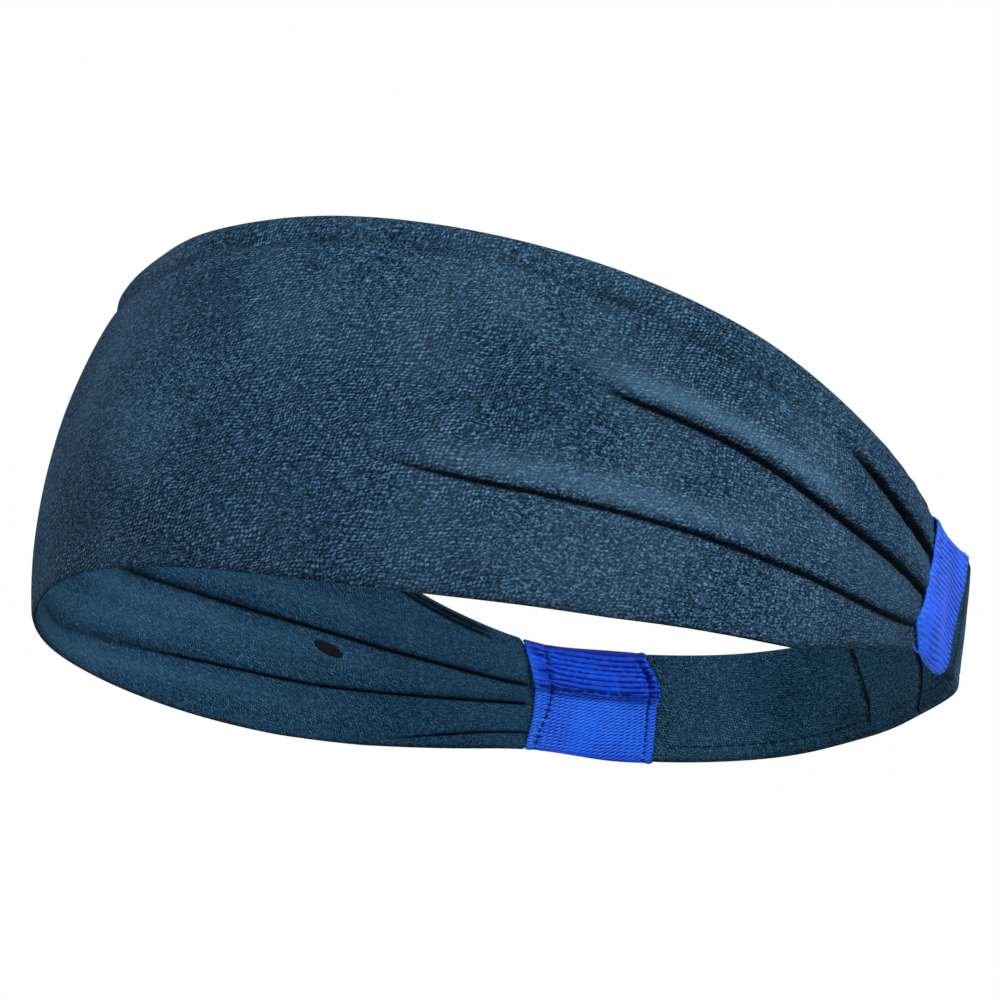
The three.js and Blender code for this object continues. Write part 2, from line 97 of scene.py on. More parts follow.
def periodic_spline(values):
    """A closed cubic spline through values spread evenly from -180 degrees on."""
    y = np.array(values, float)
    count = len(y)
    step = 360.0 / count
    eye = np.eye(count)
    system = 4 * eye + np.roll(eye, 1, axis=1) + np.roll(eye, -1, axis=1)
    bend = np.linalg.solve(system, 6 / step**2 * (np.roll(y, 1) - 2 * y + np.roll(y, -1)))

    def at(angle):
        place_in = ((np.asarray(angle, float) + 180.0) % 360.0) / step
        i = np.floor(place_in).astype(int) % count
        j = (i + 1) % count
        past = place_in - np.floor(place_in)
        left = 1 - past
        curve = (left**3 - left) * bend[i] + (past**3 - past) * bend[j]
        return left * y[i] + past * y[j] + curve * step * step / 6

    return at


bottom_radius, bottom_height, top_radius, top_height = map(
    periodic_spline, (RIM_BOTTOM_RADIUS, RIM_BOTTOM_HEIGHT, RIM_TOP_RADIUS, RIM_TOP_HEIGHT)
)


def middle(angle, rise):
    """Points of the loop's middle surface."""
    angle, rise = np.broadcast_arrays(np.asarray(angle, float), np.asarray(rise, float))
    bottom = bottom_height(angle)
    height = top_height(angle) - bottom
    share = np.clip(rise, 0, 1)
    foot = bottom_radius(angle)
    bulge = PROFILE_BULGE * (height / FULL_HEIGHT) ** 2 * 4 * share * (1 - share)
    radius = foot - (foot - top_radius(angle)) * share**PROFILE_POWER + bulge
    turn = np.radians(angle)
    return np.stack([radius * np.sin(turn), -radius * np.cos(turn), bottom + height * rise], -1)


def unit(x):
    return x / np.maximum(np.linalg.norm(x, axis=-1, keepdims=True), 1e-12)


def outward(angle, rise):
    share = np.clip(rise, 0.01, 0.99)
    along = middle(angle + 0.5, share) - middle(angle - 0.5, share)
    up = middle(angle, share + 0.01) - middle(angle, share - 0.01)
    return unit(np.cross(along, up))


def height_at(angle):
    return np.linalg.norm(middle(angle, 1.0) - middle(angle, 0.0), axis=-1)


def place(angle, rise, off):
    return middle(angle, rise) + outward(angle, rise) * np.asarray(off)[..., None]


def mix(start, end, share):
    return start + (end - start) * share


def smooth(low, high, x):
    """A soft step, 0 at low and 1 at high."""
    share = np.clip((np.asarray(x, float) - low) / (high - low), 0, 1)
    return share * share * (3 - 2 * share)


def window(x, enter, full, leave, gone):
    """1 between full and leave, falling softly to 0 at enter and gone."""
    return smooth(enter, full, x) * (1 - smooth(leave, gone, x))


def bell(x, width):
    return np.exp(-((x / width) ** 2))


def quarter_round(x):
    return np.sqrt(1 - (1 - np.clip(x, 0, 1)) ** 2)


def cluster(count, pull):
    """count steps from 0 to 1, drawn towards both ends."""
    even = np.linspace(0, 1, count + 1)
    return even - pull * np.sin(2 * np.pi * even) / (2 * np.pi)


def ripple(angle, rise, seed, scale):
    """Smooth, slow waves over the cloth, about -1 to 1. A smaller scale gives shorter waves."""
    rng = np.random.default_rng(seed)
    x = np.asarray(angle) * MM_PER_DEGREE / scale
    y = np.asarray(rise) * FULL_HEIGHT / scale
    count = 7
    total = 0
    for _ in range(count):
        wave_x, wave_y = rng.uniform(-0.35, 0.35), rng.uniform(-0.3, 0.3)
        total = total + np.sin(wave_x * x + wave_y * y + rng.uniform(0, 6.28))
    return total / count * 1.6


def round_rims(off, share, height, bottom, top, floor):
    """Brings the offset down to floor over rounded rims with the given radii."""
    for edge, radius in ((share * height, bottom), ((1 - share) * height, top)):
        off = floor + (off - floor) * quarter_round(edge / radius)
    return off


# closeness to the rim, which the knit materials darken as painted shade
def near_edge(share, height):
    return np.exp(-np.minimum(share, 1 - share) * height / 0.6)


def tab_angle(tab, along, rise):
    """The angle at a share along the tab, from its band side to its strap side."""
    share = np.clip(rise, 0, 1)
    return mix(mix(tab[0], tab[1], share), mix(tab[2], tab[3], share), along)


# ------------------------------------------------------------------ mesh making
def make_object(name, verts, faces, uv=None, attrs=None):
    mesh = bpy.data.meshes.new(name)
    verts = np.asarray(verts, float) * METRES_PER_MM
    counts = np.array([len(face) for face in faces], np.int32)
    corners = np.concatenate(faces).astype(np.int32)
    starts = np.concatenate([[0], np.cumsum(counts)[:-1]]).astype(np.int32)
    mesh.vertices.add(len(verts))
    mesh.vertices.foreach_set("co", verts.astype(np.float32).ravel())
    mesh.loops.add(len(corners))
    mesh.loops.foreach_set("vertex_index", corners)
    mesh.polygons.add(len(counts))
    mesh.polygons.foreach_set("loop_start", starts)
    mesh.polygons.foreach_set("use_smooth", np.ones(len(counts), bool))
    mesh.update(calc_edges=True)
    if uv is not None:
        layer = mesh.uv_layers.new(name="mm")
        layer.data.foreach_set("uv", np.asarray(uv, np.float32)[corners].ravel())
    for key, values in (attrs or {}).items():
        layer = mesh.attributes.new(key, "FLOAT", "POINT")
        layer.data.foreach_set("value", np.asarray(values, np.float32).ravel())
    mesh.validate()
    ob = bpy.data.objects.new(name, mesh)
    bpy.context.scene.collection.objects.link(ob)
    return ob


def quads_from(*corners):
    return np.stack(corners, -1).reshape(-1, 4)


def solid_sheet(name, front, back, uv, attrs, flip=False):
    """A closed sheet from a fine (columns, rows, 3) front and a back grid with fewer rows."""
    back = np.array(back, float)
    for rim, inner in ((0, 1), (-1, -2)):
        # where the two rims meet, the back one steps in so that the strip between has an area
        step = back[:, inner] - back[:, rim]
        gap = np.linalg.norm(front[:, rim] - back[:, rim], axis=-1)
        touching = gap < 1e-3 * np.linalg.norm(step, axis=-1)
        back[:, rim] += 0.03 * step * touching[:, None]
    columns, rows = front.shape[:2]
    back_rows = back.shape[1]
    fore = np.arange(columns * rows).reshape(columns, rows)
    rear = columns * rows + np.arange(columns * back_rows).reshape(columns, back_rows)
    quads = np.concatenate([
        quads_from(fore[:-1, :-1], fore[1:, :-1], fore[1:, 1:], fore[:-1, 1:]),
        quads_from(rear[:-1, :-1], rear[:-1, 1:], rear[1:, 1:], rear[1:, :-1]),
        quads_from(fore[:-1, 0], rear[:-1, 0], rear[1:, 0], fore[1:, 0]),
        quads_from(fore[:-1, -1], fore[1:, -1], rear[1:, -1], rear[:-1, -1]),
    ])
    first = [*fore[0], *rear[0][::-1]]
    last = [fore[-1][0], *rear[-1], *fore[-1][1:][::-1]]
    if flip:
        quads, first, last = quads[:, ::-1], first[::-1], last[::-1]
    picks = np.round(np.linspace(0, rows - 1, back_rows)).astype(int)

    def on_both(grid):
        return np.concatenate([
            grid.reshape(columns * rows, -1),
            grid[:, picks].reshape(columns * back_rows, -1),
        ])

    verts = np.concatenate([front.reshape(-1, 3), back.reshape(-1, 3)])
    attrs = {key: on_both(grid) for key, grid in attrs.items()}
    return make_object(name, verts, [*quads, first, last], on_both(uv), attrs)


def tubes(name, paths, radius):
    """Six-sided threads along paths, with closed, tapered ends, in one mesh."""
    sides = 6
    verts, quads, caps = [], [], []
    base = 0
    for path in paths:
        count = len(path)
        tangent = unit(np.gradient(path, axis=0))
        guide = np.array([0, 0, 1.0])
        if np.mean(np.abs(tangent @ guide)) > 0.7:
            guide = unit(np.array([path[0, 0], path[0, 1], 0.0]))
        side = unit(np.cross(tangent, guide))
        over = np.cross(tangent, side)
        turn = np.linspace(0, 2 * np.pi, sides, endpoint=False)[None, :, None]
        taper = np.ones(count)
        taper[0] = taper[-1] = 0.45
        circle = np.cos(turn) * side[:, None] + np.sin(turn) * over[:, None]
        verts.append((path[:, None] + radius * taper[:, None, None] * circle).reshape(-1, 3))
        ring = base + np.arange(count * sides).reshape(count, sides)
        ahead = np.roll(ring, -1, axis=1)
        quads.append(quads_from(ring[:-1], ahead[:-1], ahead[1:], ring[1:]))
        caps += [ring[0][::-1], ring[-1]]
        base += count * sides
    return make_object(name, np.concatenate(verts), [*np.concatenate(quads), *caps])


def stitches(row, total, length, gap, radius, seed):
    """Thread paths of a stitch row. row(run) gives points and normals run mm along it."""
    rng = np.random.default_rng(seed)
    paths = []
    start = 0.0
    while start + length <= total:
        share = np.linspace(0, 1, 9)
        points, normals = row(start + share * length * rng.uniform(0.93, 1.05))
        lift = radius * (0.9 * np.sin(np.pi * share) ** 0.5 - 0.3)
        paths.append(points + normals * lift[:, None] + rng.uniform(-0.05, 0.05, 3))
        start += length + gap
    return paths


# ------------------------------------------------------------------ the front band's folds
@dataclass
class Crease:
    """A fold line. The cloth above it rolls over as a lip."""

    path: list  # (angle, rise) knots
    strength: list  # (angle, strength) knots
    drop: float  # depth of the line
    lip: float  # height of the roll above it
    width: float  # how far up the lip's wall reaches
    spread: float  # how far up the lip fades
    low: float  # how far down the drop fades
    core: float  # half width of the line's painted shade
    # dark: how strong the line's painted shade is
    dark: float = 1.0

    def rise_at(self, angle):
        """The path, averaged over a few degrees to soften its corners."""
        total = 0
        for shift, weight in ((-3, 0.5), (-1.5, 0.9), (0, 1), (1.5, 0.9), (3, 0.5)):
            total = total + weight * np.interp(angle + shift, *zip(*self.path))
        return total / 3.8

    def strength_at(self, angle):
        return np.clip(np.interp(angle, *zip(*self.strength)), 0, 2)

    def profile(self, above, strength):
        """Height over the cloth, above mm up from the line."""
        firm = smooth(0.15, 0.85, strength)
        width = mix(3.2, self.width, firm)
        low = mix(3.2, self.low, firm)
        x = np.maximum(above, 0)
        wall = mix(smooth(0, 1, x / width), quarter_round(x / width), firm)
        fade = bell(np.maximum(x - width, 0), self.spread)
        upper = -self.drop * (1 - wall) + self.lip * wall * fade
        lower = -self.drop * np.exp(np.minimum(above, 0) / low)
        return strength * np.where(above >= 0, upper, lower)

    def painted_shade(self, above, strength):
        """Painted shade in the fold: a thin core where it is firm, a wide haze where it is soft.
        """
        firm = smooth(0.3, 0.95, strength)
        core = np.where(above >= 0, bell(above, self.core * 1.5), np.exp(above / self.core))
        haze = np.where(above >= 0, bell(above, 1.1), np.exp(above / 0.9))
        haze = 0.3 * haze * np.clip(strength, 0, 1)
        return np.clip(self.dark * (firm * core + haze * (1 - firm * core)), 0, 1)


OUTER_LOW = Crease(
    [
        (-136, 0.3), (-128, 0.25), (-118, 0.22), (-105, 0.24), (-90, 0.275), (-70, 0.315),
        (-50, 0.365), (-30, 0.4), (0, 0.39), (20, 0.365), (37.5, 0.342), (46, 0.318),
        (52, 0.301), (59.2, 0.292), (71.2, 0.283), (80, 0.271), (86.5, 0.261), (92, 0.252),
        (95.8, 0.239), (101.2, 0.208), (106, 0.174), (111.5, 0.149), (118, 0.14), (128, 0.16),
    ],
    [
        (-136, 1.1), (-112, 1.1), (-85, 0.9), (-66, 0.6), (-50, 0.2), (-38, 0), (26, 0),
        (33, 0.1), (41, 0.3), (46, 0.62), (52, 0.9), (60, 1.0), (110, 1.25), (128, 1.2),
    ],
    drop=0.45, lip=0.62, width=1.2, spread=6.5, low=1.2, core=0.3,
)
OUTER_MIDDLE = Crease(
    [
        (-136, 0.5), (-130, 0.47), (-118, 0.5), (-105, 0.545), (-90, 0.61), (-72, 0.665),
        (-55, 0.7), (-30, 0.7), (0, 0.68), (40, 0.662), (58, 0.655), (63.8, 0.648),
        (68, 0.618), (71, 0.603), (76.2, 0.593), (81.8, 0.577), (86.2, 0.565), (89.5, 0.551),
        (94.2, 0.524), (98.8, 0.495), (103.5, 0.468), (108.5, 0.442), (112.2, 0.414),
        (117.8, 0.364), (128, 0.33),
    ],
    [
        (-136, 1.2), (-110, 1.2), (-90, 1.0), (-72, 0.7), (-58, 0.15), (-50, 0), (50, 0),
        (58, 0.1), (64, 0.28), (67.5, 0.5), (70, 0.8), (74, 0.98), (80, 1.1), (104, 1.3),
        (128, 1.25),
    ],
    drop=0.5, lip=1.0, width=1.9, spread=5.0, low=1.3, core=0.34,
)
OUTER_HEM = Crease(
    [
        (-136, 0.72), (-130, 0.71), (-122, 0.74), (-110, 0.8), (-95, 0.865), (-80, 0.91),
        (-60, 0.935), (-20, 0.905), (-1, 0.893), (11, 0.914), (21.5, 0.926), (32, 0.929),
        (45, 0.933), (55, 0.929), (64, 0.917), (72, 0.9), (82, 0.873), (90, 0.85),
        (97.2, 0.83), (103, 0.803), (106, 0.78), (110, 0.745), (114, 0.716), (119, 0.69),
        (128, 0.66),
    ],
    [
        (-136, 1.2), (-116, 1.2), (-100, 0.8), (-86, 0.2), (-66, 0.3), (0, 0.4), (60, 0.36),
        (76, 0.22), (90, 0.2), (97, 0.26), (101, 0.5), (104.5, 0.85), (110, 1.2), (128, 1.5),
    ],
    drop=0.8, lip=0.6, width=1.3, spread=3.4, low=1.7, core=0.48,
)
OUTER = [OUTER_LOW, OUTER_MIDDLE, OUTER_HEM]

INNER_LOW = Crease(
    [
        (-136, 0.17), (-128.8, 0.156), (-124.2, 0.132), (-120.5, 0.116), (-114.8, 0.08),
        (-111.2, 0.053), (-106.8, 0.034), (-90, 0.033), (0, 0.035), (85, 0.045), (95, 0.07),
        (105, 0.11), (115, 0.15), (128, 0.2),
    ],
    [
        (-136, 1), (-118, 0.95), (-110, 0.6), (-104, 0), (80, 0), (90, 0.5), (104, 0.9),
        (128, 1),
    ],
    drop=0.3, lip=0.3, width=1.0, spread=2.4, low=1.0, core=0.22, dark=0.85,
)
INNER_MIDDLE = Crease(
    [
        (-136, 0.44), (-129.2, 0.42), (-124, 0.395), (-118.8, 0.371), (-114, 0.346),
        (-108.8, 0.317), (-103.2, 0.286), (-98.8, 0.263), (-94.8, 0.247), (-90.8, 0.235),
        (-85, 0.216), (-79.2, 0.196), (-72.5, 0.172), (-65, 0.144), (-56.2, 0.115),
        (-48.2, 0.085), (-20, 0.1), (20, 0.12), (50, 0.17), (70, 0.24), (90, 0.3),
        (105, 0.36), (118, 0.42), (128, 0.45),
    ],
    [
        (-136, 1.0), (-100, 0.95), (-80, 0.9), (-70, 0.75), (-60, 0.55), (-50, 0.35),
        (-38, 0), (45, 0), (60, 0.5), (80, 0.9), (128, 1.1),
    ],
    drop=0.45, lip=0.55, width=1.6, spread=4.0, low=1.3, core=0.26, dark=0.9,
)
INNER_HIGH = Crease(
    [
        (-136, 0.59), (-129, 0.588), (-121.2, 0.596), (-116, 0.597), (-111.8, 0.583),
        (-105.8, 0.559), (-100.5, 0.534), (-94.8, 0.505), (-89.8, 0.477), (-84, 0.45),
        (-78, 0.427), (-71, 0.4), (-64.2, 0.376), (-40, 0.36), (0, 0.4), (40, 0.5),
        (60, 0.56), (80, 0.6), (100, 0.66), (115, 0.7), (128, 0.7),
    ],
    [
        (-136, 1.05), (-105, 1.0), (-85, 1.0), (-66, 0.8), (-56, 0.3), (-48, 0), (50, 0),
        (64, 0.5), (84, 0.9), (128, 1.1),
    ],
    drop=0.5, lip=0.6, width=1.5, spread=4.5, low=1.2, core=0.3, dark=0.95,
)
INNER = [INNER_LOW, INNER_MIDDLE, INNER_HIGH]


# ------------------------------------------------------------------ the front band's two plies
def before_tab(angle, rise):
    """Millimetres from a point of the band to the nearer tab's mouth, negative inside it."""
    left = tab_angle(LEFT_TAB, 0, rise) - angle
    right = angle - tab_angle(RIGHT_TAB, 0, rise)
    return np.minimum(left * MM_PER_DEGREE, right * MM_PER_DEGREE)


def band_half(before):
    """Half the band's thickness without its folds."""
    swell = 0.58 + 0.5 * (1 - smooth(4, 62, before)) ** 1.4
    return mix(GATHERED_HALF, swell, smooth(-1.0, 9.0, before))


def pinch(up):
    """The gathered end and the ribbon round it are pressed thin towards their bottom edge."""
    return mix(0.12, 1.0, smooth(0.3, 7.5, up))


def band_offset(creases, angle, rise, height, before, seed):
    off = band_half(before)
    painted_shade = np.zeros_like(off)
    inside = smooth(-3.5, 1.5, before)
    lines = [crease.rise_at(angle) for crease in creases]
    for crease, line in zip(creases, lines):
        above = (rise - line) * height
        strength = crease.strength_at(angle) * inside
        off += crease.profile(above, strength)
        painted_shade = np.maximum(painted_shade, crease.painted_shade(above, strength))
    # between two folds the gathered cloth stands up as a soft roll
    gather = (1 - smooth(6, 75, before)) * smooth(-2, 7, before)
    marks = [-0.02, *lines, 1.02]
    for low, high in zip(marks[:-1], marks[1:]):
        share = np.clip((rise - low) / np.maximum(high - low, 0.02), 0, 1)
        size = np.clip((high - low) * height / 11.0, 0.25, 1.0)
        roll = np.sin(np.pi * share) ** 0.85 * (share > 0) * (share < 1)
        off += 0.85 * gather * size * roll
    off *= mix(1.0, pinch(rise * height), 1 - smooth(0, 12, before))
    # small gathers close to the tab, and the slow unevenness of cloth
    pleats = np.sin(rise * height * 2.1 + 0.7 * np.sin(angle * 0.35))
    pleats = pleats * (1 + 0.5 * np.sin(angle * 0.9))
    off += 0.1 * inside * (1 - smooth(2, 34, before)) * pleats
    off += 0.13 * ripple(angle, rise, seed, 1.6) * smooth(0, 14, before)
    off += 0.035 * ripple(angle, rise, seed + 5, 0.5) * smooth(0, 10, before)
    return off, np.clip(painted_shade, 0, 1)


def band_angle(share, along):
    right = tab_angle(RIGHT_TAB, BAND_REACH, share)
    return mix(right, tab_angle(LEFT_TAB, BAND_REACH, share), along)


def band_grid(creases, columns, gap_rows, hem=None):
    """Angle, rise and share of the grid's height. The rows run along the creases."""
    rim_rows, hem_rows, rim_band = 7, 6, 1.0
    along = cluster(columns, 0.3)
    angle = band_angle(0.5, along)
    height = height_at(angle)
    before = before_tab(angle, 0.5)
    inset_top = TAB_INSET * (1 - smooth(-0.8, 0.9, before)) / height
    # the left ribbon's bottom corner is set back, so the band's lower edge rises later there
    inset = TAB_INSET * (1 - smooth(-0.8, 0.9, before + 5.0 * (angle > 0))) / height
    span = 1 - inset_top - inset

    knots = [0 * height, rim_band / height]
    knots += [(crease.rise_at(angle) - inset) / span for crease in creases]
    if hem is not None:
        knots.append(1 - hem / height)
    knots += [1 - rim_band / height, 0 * height + 1]
    # keep them in order where folds crowd together
    least = 0.2 / height
    for i in range(1, len(knots)):
        knots[i] = np.maximum(knots[i], knots[i - 1] + least)
    for i in range(len(knots) - 2, 0, -1):
        knots[i] = np.minimum(knots[i], knots[i + 1] - least)

    quarter = np.linspace(0, np.pi / 2, rim_rows + 1)
    spacings = [1 - np.cos(quarter)] + [cluster(gap_rows, 0.78)] * (len(creases) + 1)
    if hem is not None:
        spacings.append(np.linspace(0, 1, hem_rows + 1))
    spacings.append(np.sin(quarter))
    rows = [
        mix(low[:, None], high[:, None], spacing[None, :-1])
        for low, high, spacing in zip(knots[:-1], knots[1:], spacings)
    ]
    share = np.concatenate([*rows, knots[-1][:, None]], 1)
    return band_angle(share, along[:, None]), inset[:, None] + span[:, None] * share, share


def above_floor(points):
    points[..., 2] = np.maximum(points[..., 2], 0.0)
    return points


def band_back(angle, rise, height, sign):
    """The ply's hidden face, set further out round the thread in each sewn edge."""
    near = np.array([0, 0.8, 1.5, 3.4, 6])  # mm from the rim
    near_off = [0.05, 0.2, 0.22, 0.12, 0.05]
    even = np.linspace(0, 1, 14)[1:-1]
    height = height[:, :1]
    low, high = near[-1] / height, 1 - near[-1] / height
    share = np.concatenate([near / height, low + (high - low) * even, 1 - near[::-1] / height], 1)
    off = np.array([*near_off, *[0.05] * len(even), *near_off[::-1]])
    back_angle = mix(angle[:, :1], angle[:, -1:], share)
    back_rise = mix(rise[:, :1], rise[:, -1:], share)
    return above_floor(place(back_angle, back_rise, sign * off))


def panel_sheet(name, angle, rise, off, before, painted_shade, painted_highlight, sign, uv_shift):
    height = height_at(angle)
    front = above_floor(place(angle, rise, sign * off))
    back = band_back(angle, rise, height, sign)
    fabric = height + 0.3 * (70 - height)  # the cloth's own height before it is gathered
    uv = np.stack([angle * MM_PER_DEGREE, (rise - 0.5) * fabric + 35], -1) + uv_shift
    attrs = {
        "painted_shade": painted_shade,
        "edge": near_edge(rise, height),
        "taut": 1 - smooth(4, 60, before),
        "painted_highlight": painted_highlight,
    }
    return solid_sheet(name, front, back, uv, attrs, flip=sign < 0)


def build_outer_panel():
    angle, rise, share = band_grid(OUTER, columns=690, gap_rows=28)
    height = height_at(angle)
    before = before_tab(angle, rise)
    off, painted_shade = band_offset(OUTER, angle, rise, height, before, seed=11)
    # the rolled top edge stands a little proud
    off += 0.34 * bell((1 - rise) * height - 2.2, 1.9) * smooth(2, 30, before)
    off = round_rims(np.maximum(off, 0.14), share, height, bottom=0.95, top=1.0, floor=0.05)
    # the soft line of the hem: a shallow groove, with patchy painted shade along it
    above_hem = (rise - OUTER_HEM.rise_at(angle)) * height
    front_part = window(angle, -80, -60, 86, 99)
    off -= 0.16 * bell(above_hem, 1.3) * front_part
    patchy = 0.85 + 0.3 * ripple(angle, rise, 71, 0.5) + 0.25 * ripple(angle, rise, 72, 0.2)
    line = bell(above_hem + 0.5, mix(1.15, 1.7, smooth(50, 80, angle)))
    painted_shade = np.maximum(painted_shade, 0.46 * front_part * line * np.clip(patchy, 0.2, 1.4))
    # painted highlight on the crests of the folds: crease, brightness, angle where it ends on both
    # sides
    painted_highlight = np.zeros_like(painted_shade)
    for crease, size, end in ((OUTER_MIDDLE, 1.0, 104), (OUTER_LOW, 0.75, 92)):
        above = (rise - crease.rise_at(angle)) * height
        ridge = window(above, 0.9, 2.4, 3.2, 8.0) * np.clip(crease.strength_at(angle), 0, 1)
        along = window(np.abs(angle), end - 50, end - 32, end - 14, end)
        painted_highlight = np.maximum(painted_highlight, size * ridge * along)
    return panel_sheet("outer_panel_cloth", angle, rise, off, before, painted_shade, painted_highlight, 1, [0, 0])


def soft_folds(angle, rise, height):
    """On the inner face: soft valleys at the open ends of the folds, and a painted highlight
    beside them that stands in for puffs.
    """
    valley, painted_puff_highlight = np.zeros_like(rise), np.zeros_like(rise)
    for crease, start, end, size in ((INNER_HIGH, -104, -52, 1.0), (INNER_MIDDLE, -92, -42, 0.9)):
        above = (rise - crease.rise_at(angle)) * height
        along = window(angle, start, start + 26, end, end + 8)
        dip = np.where(above > 0, bell(above, 2.2), bell(above, 1.0))
        valley = np.maximum(valley, size * along * dip)
        along = window(angle, start - 14, start + 14, end, end + 12)
        painted_puff_highlight = np.maximum(painted_puff_highlight, size * along * bell(above + 4.2, 2.3))
        painted_puff_highlight = np.maximum(painted_puff_highlight, 0.7 * size * along * bell(above - 6.0, 2.2))
    return valley, painted_puff_highlight


def inner_offset(angle, rise, share, height, before):
    off, painted_shade = band_offset(INNER, angle, rise, height, before, seed=23)
    edge = (1 - rise) * height
    above_hem = edge - HEM_DROP
    roll = 0.34 * bell(edge - 0.9, 0.9) - 0.36 * np.exp(-np.abs(above_hem) / 0.35)
    off += 0.5 * smooth(4, 26, before) * roll
    # painted shade in the hem's groove, and along the top rim on the right part
    right_part = smooth(-48, -62, angle)
    shade = np.maximum(0.9 * bell(above_hem, 0.5), 0.75 * right_part * bell(edge - 1.0, 0.75))
    painted_shade = np.clip(painted_shade + shade * smooth(3, 12, before) * mix(0.5, 1.0, right_part), 0, 1)
    # where the folds open out towards the front, they are wide and soft, with painted shade in
    # them
    valley, _ = soft_folds(angle, rise, height)
    off -= 0.3 * valley
    painted_shade = np.maximum(painted_shade, 0.5 * valley)
    off = round_rims(np.maximum(off, 0.14), share, height, bottom=0.95, top=0.9, floor=0.05)
    return off, painted_shade


def build_inner_panel():
    angle, rise, share = band_grid(INNER, columns=640, gap_rows=26, hem=HEM_DROP)
    height = height_at(angle)
    before = before_tab(angle, rise)
    off, painted_shade = inner_offset(angle, rise, share, height, before)
    painted_highlight = 0.6 * soft_folds(angle, rise, height)[1]
    return panel_sheet("inner_panel_cloth", angle, rise, off, before, painted_shade, painted_highlight, -1, [37, 11])


def build_mark():
    """The oval film on the inner face, on the right side of the band."""
    rings, sides = 12, 64
    mark_angle, mark_rise = -99.2, 0.447
    half_length, half_width, tilt = 3.45, 1.3, math.radians(4)
    radius = np.linspace(0, 1, rings + 1)[1:, None]
    turn = np.linspace(0, 2 * np.pi, sides, endpoint=False)[None]
    edge = 1 + 0.02 * np.sin(3 * turn + 1) + 0.015 * np.sin(7 * turn)
    x = radius * np.cos(turn) * edge * half_length
    y = radius * np.sin(turn) * edge * half_width
    x, y = x * math.cos(tilt) - y * math.sin(tilt), x * math.sin(tilt) + y * math.cos(tilt)
    angle = mark_angle + x / (math.radians(1) * 88)
    rise = mark_rise + y / height_at(mark_angle)

    def on_cloth(angle, rise, lift):
        before = before_tab(angle, rise)
        off, _ = inner_offset(angle, rise, rise, height_at(angle), before)
        return place(angle, rise, -(off + lift)).reshape(-1, 3)

    sunk, lift = -0.08, 0.1 * np.sqrt(np.clip(1 - radius**8, 0, 1)) + 0.02
    verts = np.concatenate([
        on_cloth(mark_angle, mark_rise, 0.12),
        on_cloth(angle, rise, lift),
        on_cloth(mark_angle, mark_rise, sunk),
        on_cloth(angle, rise, sunk),
    ])
    top = 1 + np.arange(rings * sides).reshape(rings, sides)
    centre = 1 + rings * sides
    under = top + centre
    faces = []
    for i in range(sides):
        n = (i + 1) % sides
        faces.append([0, top[0, n], top[0, i]])
        faces.append([centre, under[0, i], under[0, n]])
        for j in range(rings - 1):
            faces.append([top[j, i], top[j, n], top[j + 1, n], top[j + 1, i]])
            faces.append([under[j, i], under[j + 1, i], under[j + 1, n], under[j, n]])
        faces.append([top[-1, i], top[-1, n], under[-1, n], under[-1, i]])
    return make_object("inner_mark_film", verts, faces)


# ------------------------------------------------------------------ the ribbon tabs
def tab_half(along):
    return mix(TAB_HALF_PANEL, TAB_HALF_STRAP, smooth(0.45, 0.75, along))


def tab_thin(along, up):
    """What is left of the tab's inside thickness, from its mouth to its strap end."""
    return mix(pinch(up), mix(0.6, 1.0, smooth(0.3, 4.0, up)), smooth(0.2, 0.8, along))


def tab_place(tab, along, up, off):
    """A point of the tab at a share along it, up mm from its bottom."""
    rise = up / height_at(tab_angle(tab, along, 0.5))
    return place(tab_angle(tab, along, rise), rise, off)


def tab_outward(tab, along, rise):
    return outward(tab_angle(tab, along, 0.5), rise)


def ribbon_path(height, half):
    """The ribbon's middle line round a tab as (up, off), from its covered end to its lap."""
    side = half + RIBBON / 2
    low = TAB_FOLD + RIBBON / 2
    high = height - low
    lap = LAP_AT * height
    end = lap + LAP_LENGTH
    step = RIBBON + LAP_GAP
    turns = np.linspace(0, math.pi, 13)
    points = [(end, -side), (lap + 2.5, -side), (lap, -side), (mix(low, lap, 0.5), -side)]
    points += [(low - TAB_FOLD * math.sin(turn), -side * math.cos(turn)) for turn in turns]
    points += [(mix(low, high, share), side) for share in (0.17, 0.33, 0.5, 0.67, 0.83)]
    points += [(high + TAB_FOLD * math.sin(turn), side * math.cos(turn)) for turn in turns]
    points += [(mix(high, end + 2.2, share), -side) for share in (0.35, 0.7)]
    points += [(end + 2.0, -side - 0.02), (end + 1.2, -side - step * 0.5)]
    points += [(end + 0.4, -side - step), (lap + 2.6, -side - step), (lap, -side - step)]
    return np.array(points, float)


def even_rows(tab, along):
    """The ribbon path at a share along the tab in even steps, and the length run so far."""
    path = ribbon_path(height_at(tab_angle(tab, along, 0.5)), tab_half(along))
    length = np.concatenate([[0], np.cumsum(np.linalg.norm(np.diff(path, axis=0), axis=1))])
    run = np.linspace(0, length[-1], 560)
    rows = np.stack([np.interp(run, length, path[:, k]) for k in (0, 1)], -1)
    for _ in range(6):  # round the corners a little
        rows[1:-1] = 0.25 * rows[:-2] + 0.5 * rows[1:-1] + 0.25 * rows[2:]
    return rows, run


